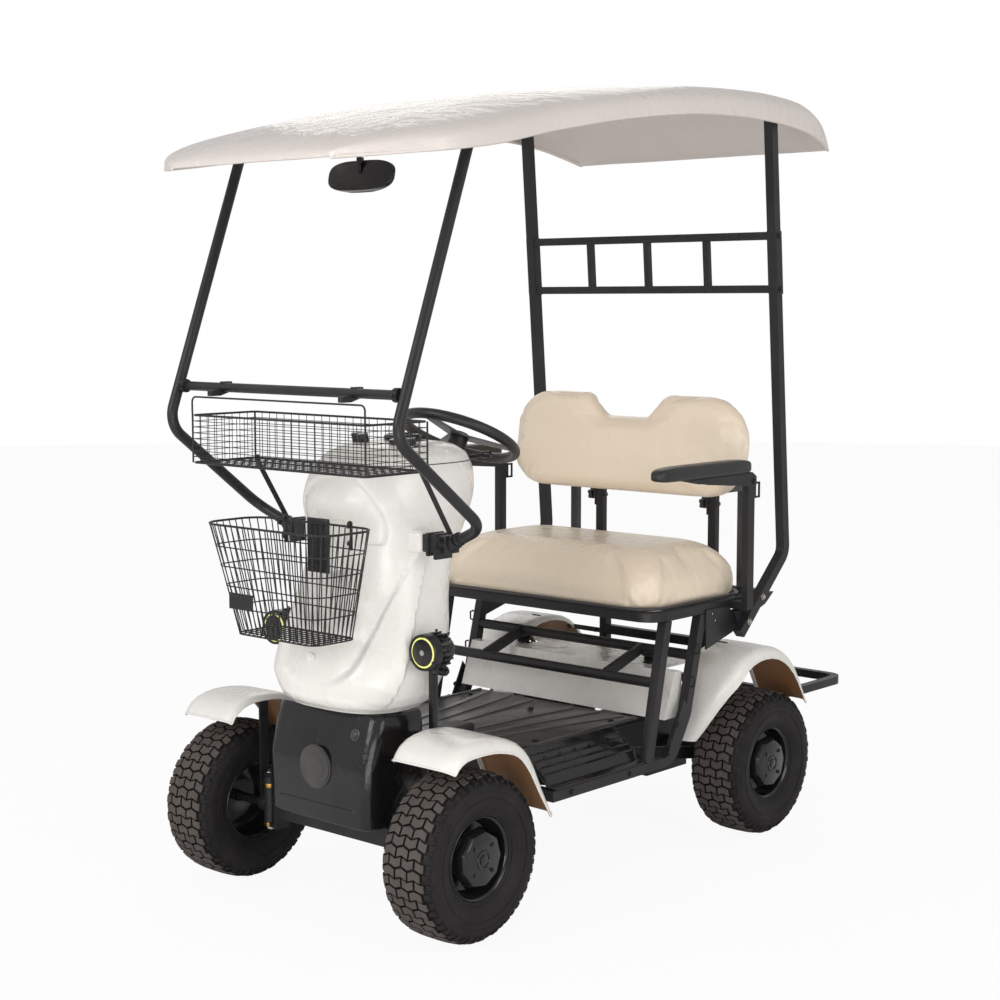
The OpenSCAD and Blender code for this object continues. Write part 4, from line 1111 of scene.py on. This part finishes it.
def steps():
    for name, side in SIDES:
        bm = bmesh.new()
        section = [(0.2647, 0.3462), (0.2760, 0.3455), (0.2850, 0.3335), (0.2935, 0.3330), (0.3000, 0.3215),
                   (0.3090, 0.3205), (0.3150, 0.3095), (0.3240, 0.3085), (0.3300, 0.2975), (0.3390, 0.2960),
                   (0.3470, 0.2740), (0.3700, 0.2715), (0.3720, 0.2672), (0.3475, 0.2672), (0.3400, 0.2735),
                   (0.2649, 0.3410)]
        rings = [[(x, y, z) for x, z in section] for y in (-0.3875, -0.380, -0.22, -0.06, -0.0525)]
        skin(bm, rings)
        # Cross bars between the treads
        for y in (-0.340, -0.285, -0.230, -0.175, -0.120):
            block(bm, (0.286, y - 0.0035, 0.298), (0.324, y + 0.0035, 0.318), Matrix.Rotation(math.radians(42), 4, "Y"))
        soften(bm, 0.0012, 2, 25)
        if side < 0:
            mirror_x(bm)
        piece(bm, f"step_{name}_treads", "chassis", "black_plastic", replaces=f"step_{name}", angle=35)


def rear_cover():
    eased("rear_cover", "chassis", "white_plastic", 0.004)
    eased("battery_box", "chassis", "dark_plastic", 0.006)
    eased("pedals", "chassis", "frame_black", 0.008)


def coil(centre_from, centre_to, radius, turns, wire_r):
    """Points of a coil spring between two ends with its last turns closed up."""
    a, b = Vector(centre_from), Vector(centre_to)
    axis = (b - a).normalized()
    side = axis.cross(Vector((1, 0, 0))).normalized()
    up = axis.cross(side)
    points = []
    count = int(turns * 18)
    for k in range(count + 1):
        t = k / count
        angle = 2 * math.pi * turns * t
        along = t + 0.055 * math.sin(2 * math.pi * t) * -1
        points.append(a + (b - a) * along + (side * math.cos(angle) + up * math.sin(angle)) * radius)
    return points


def shocks():
    bar = Vector((0.162, 0.500))
    axle = Vector((REAR_AXLE, WHEEL_Z))
    lie = (axle - bar).normalized()
    for name, side in SIDES:
        bm = bmesh.new()
        x = side * 0.214

        def at(distance):
            p = bar + lie * distance
            return Vector((x, p.x, p.y))

        full = (axle - bar).length
        drum(bm, at(0.0145), (1, 0, 0), 0.0125, 0.030, 28)
        drum(bm, at(0.034), (0, lie.x, lie.y), 0.020, 0.008, 32)
        tube(bm, [at(0.020), at(0.150)], 0.0065, sides=16)
        sweep(bm, coil(at(0.040), at(0.205), 0.0175, 8, 0.003), circle(0.0032, 8))
        drum(bm, at(0.210), (0, lie.x, lie.y), 0.0205, 0.008, 32)
        drum(bm, at((0.150 + full - 0.032) / 2), (0, lie.x, lie.y), 0.0145, full - 0.032 - 0.150, 32)
        drum(bm, at(full - 0.034), (1, 0, 0), 0.0085, 0.034, 24)
        soften(bm, 0.0008, 1, 45)
        piece(bm, f"shock_{name}_spring", "chassis", "frame_black", angle=40)
    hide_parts("shocks")


cowl()
dash()
front_panel()
headlamps()
fenders()
floor_pan()
steps()
rear_cover()
shocks()


# STEERING
TILT = math.radians(26.0)


def steering():
    bm = bmesh.new()
    centre = Vector((0, -0.305, 1.056))
    turn = Matrix.Translation(centre) @ Matrix.Rotation(-TILT, 4, "X")
    grip = [(0.0128 * math.sin(a), 0.1385 + 0.0132 * math.cos(a)) for a in [2 * math.pi * k / 20 for k in range(20)]]
    spin(bm, grip, (0, 0, 0), (0, 0, 1), steps=96)
    # Finger bumps under the grip
    for k in range(36):
        a = 2 * math.pi * (k + 0.5) / 36
        drum(bm, (0.1385 * math.cos(a), 0.1385 * math.sin(a), -0.0085), (-math.sin(a), math.cos(a), 0), 0.0048, 0.011, 8)
    for degrees in (30, 150, 270):
        a = math.radians(degrees)
        c, s = math.cos(a), math.sin(a)
        for low, high, near, far, z in ((0.012, 0.1300, 0.0240, 0.0148, 0.0004), (0.030, 0.100, 0.0155, 0.0085, 0.0022)):
            outline = [(low, -near), (far * 0 + high, -far), (high, far), (low, near)]
            plate(bm, [(c * r - s * w, s * r + c * w, z - 0.0030) for r, w in outline], (0, 0, 0.0034))
        for w in (-0.0105, 0.0105):
            bolt(bm, (c * 0.1205 - s * w * 0.9, s * 0.1205 + c * w * 0.9, 0.0008), (0, 0, 1), 0.0036, 0.0022)
    drum(bm, (0, 0, -0.018), (0, 0, 1), 0.0255, 0.050, 40, 0.0215)
    drum(bm, (0, 0, 0.0005), (0, 0, 1), 0.0260, 0.006, 40)
    bolt(bm, (0, 0, 0.0010), (0, 0, 1), 0.0095, 0.0018)
    soften(bm, 0.0008, 2, 45)
    paint(bm, 1, lambda f: abs(f.calc_center_median().z) < 0.004 and 0.022 < f.calc_center_median().xy.length < 0.124)
    bmesh.ops.transform(bm, matrix=turn, verts=bm.verts)
    piece(bm, "steering_wheel_grip", "steering_wheel", ["arm_rubber", "spoke_grey"], replaces="steering_wheel", angle=40)
    eased("steering_column", "chassis", "frame_black", 0.002)


def knuckles():
    for name, side in SIDES:
        body = f"knuckle_{name}"
        eased(body, body, "frame_black", 0.0022)
        x = 0.255
        bm = bmesh.new()
        low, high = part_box(body)
        for z in (WHEEL_Z - 0.047, WHEEL_Z + 0.047):
            drum(bm, (x, FRONT_AXLE, z), (0, 0, 1), 0.0172, 0.010, 32)
        soften(bm, 0.0010, 2, 40)
        if side < 0:
            mirror_x(bm)
        piece(bm, f"kingpin_{name}_bush", body, "brass", angle=40)
        bm = bmesh.new()
        drum(bm, (x, FRONT_AXLE, low[2] + 0.004), (0, 0, 1), 0.0108, 0.008, 6)
        drum(bm, (x, FRONT_AXLE, high[2] - 0.004 if high[2] < 0.3 else WHEEL_Z + 0.075), (0, 0, 1), 0.0108, 0.008, 6)
        drum(bm, (x, FRONT_AXLE + 0.095, WHEEL_Z + 0.0245), (0, 0, 1), 0.0078, 0.006, 6)
        # Bolts through the fender's shelf
        for dx in (0.034, 0.062):
            bolt(bm, (x + dx, FRONT_AXLE, 0.4455), (0, 0, 1), 0.0052, 0.003)
        soften(bm, 0.0007, 1, 40)
        if side < 0:
            mirror_x(bm)
        piece(bm, f"kingpin_{name}_nuts", body, "steel", angle=35)
    bm = bmesh.new()
    y = FRONT_AXLE + 0.095
    z = WHEEL_Z + 0.0133
    tube(bm, [(-0.228, y, z), (0.228, y, z)], 0.0056, sides=20)
    for side in (-1, 1):
        drum(bm, (side * 0.2245, y, z), (1, 0, 0), 0.0066, 0.026, 6)
        drum(bm, (side * 0.205, y, z), (1, 0, 0), 0.0070, 0.008, 6)
        spin(bm, [(-0.0066, 0.0053), (-0.0066, 0.0105), (-0.003, 0.0118), (0.003, 0.0118), (0.0066, 0.0105),
                  (0.0066, 0.0053)], (side * 0.255, y, z), (0, 0, 1), steps=36)
    soften(bm, 0.0006, 1, 40)
    piece(bm, "tie_rod_ends", "tie_rod", "steel", replaces="tie_rod", angle=35)


# SEAT
def settle(obj, cap, voxel, pinned, inside, pressure=4.0):
    """Voxel remesh, a cloth run under pressure with capped travel, and one subdivision."""
    scene = bpy.context.scene
    net = obj.modifiers.new("voxels", "REMESH")
    net.mode = "VOXEL"
    net.voxel_size = voxel
    net.use_smooth_shade = True
    graph = bpy.context.evaluated_depsgraph_get()
    fine = bpy.data.meshes.new_from_object(obj.evaluated_get(graph))
    obj.modifiers.clear()
    fine.materials.clear()
    for material in obj.data.materials:
        fine.materials.append(material)
    obj.data = fine
    bm = bmesh.new()
    bm.from_mesh(fine)
    for _ in range(5):
        bmesh.ops.smooth_vert(bm, verts=bm.verts, factor=0.5, use_axis_x=True, use_axis_y=True, use_axis_z=True)
    bm.to_mesh(fine)
    bm.free()
    start = [v.co.copy() for v in fine.vertices]
    group = obj.vertex_groups.new(name="held")
    group.add([v.index for v in fine.vertices if pinned(v.co)], 1.0, "REPLACE")
    cloth = obj.modifiers.new("cloth", "CLOTH")
    cloth.settings.quality = 5
    cloth.settings.mass = 0.25
    cloth.settings.tension_stiffness = 12
    cloth.settings.compression_stiffness = 6
    cloth.settings.shear_stiffness = 4
    cloth.settings.bending_stiffness = 0.6
    cloth.settings.use_pressure = True
    cloth.settings.uniform_pressure_force = pressure
    cloth.settings.effector_weights.gravity = 0
    cloth.settings.vertex_group_mass = "held"
    cloth.point_cache.frame_start = 1
    cloth.point_cache.frame_end = 20
    for frame_number in range(1, 21):
        scene.frame_set(frame_number)
    graph = bpy.context.evaluated_depsgraph_get()
    blown = bpy.data.meshes.new_from_object(obj.evaluated_get(graph))
    for old, new, at in zip(fine.vertices, blown.vertices, start):
        move = new.co - at
        if move.length > cap:
            move = move.normalized() * cap
        old.co = inside(at + move)
    obj.modifiers.clear()
    obj.vertex_groups.clear()
    bpy.data.meshes.remove(blown)
    scene.frame_set(1)
    bm = bmesh.new()
    bm.from_mesh(fine)
    bmesh.ops.smooth_vert(bm, verts=bm.verts, factor=0.5, use_axis_x=True, use_axis_y=True, use_axis_z=True)
    bm.to_mesh(fine)
    bm.free()
    for face in fine.polygons:
        face.use_smooth = True
    soft = obj.modifiers.new("rounding", "SUBSURF")
    soft.levels = 1
    soft.render_levels = 1


def oval(half_x, half_y, corner, power):
    """Rounded rectangle whose sides pull in a little between their corners."""
    points = []
    for p in rounded_path([(0, -half_y, 0), (half_x, -half_y, 0), (half_x, half_y, 0), (-half_x, half_y, 0),
                           (-half_x, -half_y, 0), (0, -half_y, 0)], corner, 14)[:-1]:
        pull_x = power * (1 - min(1.0, abs(p.y) / half_y) ** 2)
        pull_y = power * (1 - min(1.0, abs(p.x) / half_x) ** 2)
        points.append(Vector((p.x - math.copysign(pull_x, p.x) * (abs(p.x) > half_x * 0.8),
                              p.y - math.copysign(pull_y, p.y) * (abs(p.y) > half_y * 0.8), 0)))
    return points


def seat_cushion():
    low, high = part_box("seat_cushion")
    middle = Vector(((low[0] + high[0]) / 2, (low[1] + high[1]) / 2, 0))
    half_x = (high[0] - low[0]) / 2
    half_y = (high[1] - low[1]) / 2
    tall = high[2] - low[2]
    bm = bmesh.new()
    rings = []
    for z, inset in ((0.0, 0.030), (0.004, 0.018), (0.014, 0.010), (0.030, 0.005), (0.050, 0.006), (0.070, 0.013),
                     (0.088, 0.026), (0.104, 0.045), (0.117, 0.072), (0.127, 0.106), (0.133, 0.150)):
        ring = oval(half_x - inset, half_y - inset, max(0.085 - inset * 0.3, 0.04), 0.004)
        rings.append([middle + p + Vector((0, 0, low[2] + z * tall / 0.138)) for p in ring])
    skin(bm, rings)
    obj = piece(bm, "seat_cushion_skin", "chassis", "cream_vinyl", replaces="seat_cushion", angle=180)
    floor = low[2]

    def inside(p):
        return Vector((min(max(p.x, low[0] - 0.004), high[0] + 0.004), min(max(p.y, low[1] - 0.004), high[1] + 0.001),
                       min(max(p.z, floor), high[2] + 0.004)))

    settle(obj, 0.014, 0.0085, lambda p: p.z < floor + 0.006, inside)
    bm = bmesh.new()
    ring = oval(half_x - 0.0075, half_y - 0.0075, 0.082, 0.004)
    sweep(bm, [middle + p + Vector((0, 0, floor + 0.0065)) for p in ring], circle(0.0045, 8), closed=True)
    piece(bm, "seat_cushion_edge", "chassis", "dark_plastic", angle=60)


def backrest():
    lean = math.radians(8.0)
    high = 0.275
    half = 0.384
    thick = 0.062

    def place(x, y, z):
        return Vector((x, 0.300 + y * math.cos(lean) + z * math.sin(lean),
                       0.870 - y * math.sin(lean) + z * math.cos(lean)))

    outline = [(0, 0), (half, 0), (half, high), (0.128, high), (0.072, high - 0.063), (-0.072, high - 0.063),
               (-0.128, high), (-half, high), (-half, 0), (0, 0)]
    corner = (0.0, 0.112, 0.122, 0.044, 0.036, 0.036, 0.044, 0.122, 0.112, 0.0)
    points = []
    for k in range(1, len(outline) - 1):
        a, b, c = (Vector((*outline[k - 1], 0)), Vector((*outline[k], 0)), Vector((*outline[k + 1], 0)))
        points += rounded_path([a, b, c], corner[k], 10)[1:-1]
    rings = []
    for y, inset in ((0.000, 0.026), (0.0025, 0.014), (0.009, 0.0055), (0.020, 0.001), (0.036, 0.001), (0.047, 0.004),
                     (0.054, 0.011), (0.058, 0.022)):
        ring = []
        count = len(points)
        for k, p in enumerate(points):
            along = (points[(k + 1) % count] - points[k - 1])
            normal = Vector((along.y, -along.x, 0)).normalized()
            q = p - normal * inset
            ring.append(place(q.x, thick - y, q.y))
        rings.append(ring)
    bm = bmesh.new()
    skin(bm, rings)
    obj = piece(bm, "backrest_skin", "chassis", "cream_vinyl", replaces="backrest", angle=180)
    box_low, box_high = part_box("backrest")
    rear = place(0, thick, 0)
    out = Vector((0, math.cos(lean), -math.sin(lean)))

    def inside(p):
        depth = (p - rear).dot(out)
        if depth > -0.0005:
            p = p - out * (depth + 0.0005)
        return Vector((min(max(p.x, box_low[0] - 0.003), box_high[0] + 0.003), max(p.y, box_low[1] - 0.004),
                       min(max(p.z, box_low[2] - 0.003), box_high[2] + 0.003)))

    settle(obj, 0.010, 0.0062, lambda p: (p - rear).dot(out) > -0.004, inside)


def knob(bm, at, axis, radius):
    """Five-lobed clamping knob on a stud."""
    at = Vector(at)
    axis = Vector(axis).normalized()
    side = axis.orthogonal().normalized()
    up = axis.cross(side)
    drum(bm, at, axis, radius * 0.72, 0.012, 24)
    for k in range(5):
        a = 2 * math.pi * k / 5
        drum(bm, at + (side * math.cos(a) + up * math.sin(a)) * radius * 0.68, axis, radius * 0.36, 0.012, 16)
    drum(bm, at - axis * 0.011, axis, 0.005, 0.012, 16)
    drum(bm, at + axis * 0.007, axis, radius * 0.42, 0.003, 20)


def seat_hardware():
    bm = bmesh.new()
    for x in (-0.282, 0.282):
        block(bm, (x - 0.011, 0.4775, 0.6280), (x + 0.011, 0.4975, 0.900))
        block(bm, (x - 0.011, 0.3680, 0.884), (x + 0.011, 0.4780, 0.900))
    for x, side in ((-0.202, -1), (0.178, -1)):
        knob(bm, (x - 0.020, 0.487, 0.842), (side, 0, 0), 0.016)
        bolt(bm, (x + 0.024, 0.487, 0.842), (1, 0, 0), 0.007, 0.005)
        # Bracket cheek against the upright
        plate(bm, [(x - 0.0032, y, z) for y, z in ((0.474, 0.812), (0.500, 0.812), (0.500, 0.872), (0.474, 0.866))],
              (0.003, 0, 0))
    soften(bm, 0.0008, 1, 40)
    piece(bm, "back_supports_knobs", "chassis", "dark_plastic", angle=35)


def armrests():
    for name, side in SIDES:
        body = f"armrest_{name}"
        bm = bmesh.new()
        rings = []
        length = 0.390
        rows = ((0.0, 0.30, 0.30, -0.004), (0.004, 0.60, 0.55, -0.003), (0.014, 0.86, 0.80, -0.002),
                (0.034, 0.98, 0.94, -0.001), (0.075, 1.0, 1.0, 0.0), (0.16, 0.98, 1.0, 0.0), (0.26, 0.95, 1.0, 0.0),
                (0.33, 0.93, 0.98, 0.0), (0.365, 0.88, 0.92, -0.001), (0.382, 0.72, 0.78, -0.002),
                (0.3895, 0.36, 0.44, -0.005))
        for t, wide, tall, shift in rows:
            ring = []
            for k in range(36):
                a = 2 * math.pi * k / 36
                c, s = math.cos(a), math.sin(a)
                px = 0.0248 * wide * math.copysign(abs(c) ** 0.5, c)
                pz = math.copysign(abs(s) ** 0.5, s)
                flat = 0.0182 * tall
                ring.append((0.415 + px, 0.315 - 0.395 + t, 0.9690 + shift + pz * flat))
            rings.append(ring)
        skin(bm, rings)
        if side < 0:
            mirror_x(bm)
        piece(bm, f"armrest_{name}_pad", body, "arm_rubber", replaces=f"armrest_{name}", angle=60, levels=1)
        bm = bmesh.new()
        for x in (0.3993, 0.4272):
            plate(bm, [(x, y, z) for y, z in ((0.3268, 0.9183), (0.3268, 0.9418), (0.310, 0.9517), (0.015, 0.9517),
                                              (0.115, 0.9343), (0.295, 0.9183))], (0.0036, 0, 0))
        block(bm, (0.3993, 0.020, 0.9495), (0.4308, 0.310, 0.9530))
        bolt(bm, (0.4310, 0.315, 0.930), (1, 0, 0), 0.0062, 0.003)
        drum(bm, (0.415, 0.315, 0.930), (1, 0, 0), 0.0049, 0.035, 20)
        soften(bm, 0.0006, 1, 40)
        if side < 0:
            mirror_x(bm)
        piece(bm, f"armrest_{name}_channel", body, "frame_black", angle=35)
        bm = bmesh.new()
        # Slotted latch strap behind the post
        for y0, y1, z0, z1 in ((0.3295, 0.365, 0.884, 0.889), (0.3295, 0.365, 0.9195, 0.9245), (0.3295, 0.347, 0.884, 0.9245),
                               (0.359, 0.365, 0.884, 0.9245)):
            block(bm, (0.4130, y0, z0), (0.4165, y1, z1))
        soften(bm, 0.0005, 1, 40)
        if side < 0:
            mirror_x(bm)
        piece(bm, f"arm_post_{name}_strap", "chassis", "frame_black", angle=35)


def rack_and_bolts():
    eased("rear_rack", "chassis", "frame_black", 0.003)
    for name, side in SIDES:
        bm = bmesh.new()
        for y, z in ((0.330, 0.569), (0.390, 0.626)):
            bolt(bm, (0.4126, y, z), (1, 0, 0), 0.0062, 0.004)
        for z in (1.408, 1.542):
            y = 0.414 + (1.800 - z) * 0.0804
            bolt(bm, (0.4146, y, z), (1, 0, 0), 0.0058, 0.004)
        for y, z in ((0.050, 0.3010), (0.082, 0.340)):
            bolt(bm, (0.3726, y, z), (1, 0, 0), 0.0055, 0.004)
        for y in (-0.330, -0.110):
            bolt(bm, (0.3726, y, 0.254), (1, 0, 0), 0.0055, 0.004)
        # Hook eyes welded on the rear leg
        for y, z in ((0.160, 0.520), (0.140, 0.440)):
            sweep(bm, [(0.3735, y - 0.006, z - 0.013), (0.3835, y - 0.006, z - 0.010), (0.3835, y - 0.006, z + 0.010),
                       (0.3735, y - 0.006, z + 0.013)], circle(0.0026, 8))
        soften(bm, 0.0006, 1, 40)
        if side < 0:
            mirror_x(bm)
        paint(bm, 1, lambda f: not 0.55 < f.calc_center_median().z < 0.64)
        piece(bm, f"frame_bolts_{name}", "chassis", ["steel", "frame_black"], angle=35)


steering()
knuckles()
seat_cushion()
backrest()
seat_hardware()
armrests()
rack_and_bolts()


# CLOSING
def plain_nodes():
    """Give each node that still shows its slot's finish."""
    slot_of = {row["node"]: row["material_slot"] for row in frame["record"]["subparts"]}
    for name, obj in frame["nodes"].items():
        key = slot_of[name]
        if key in MATERIALS:
            obj.data.materials.clear()
            obj.data.materials.append(MATERIALS[key])


plain_nodes()
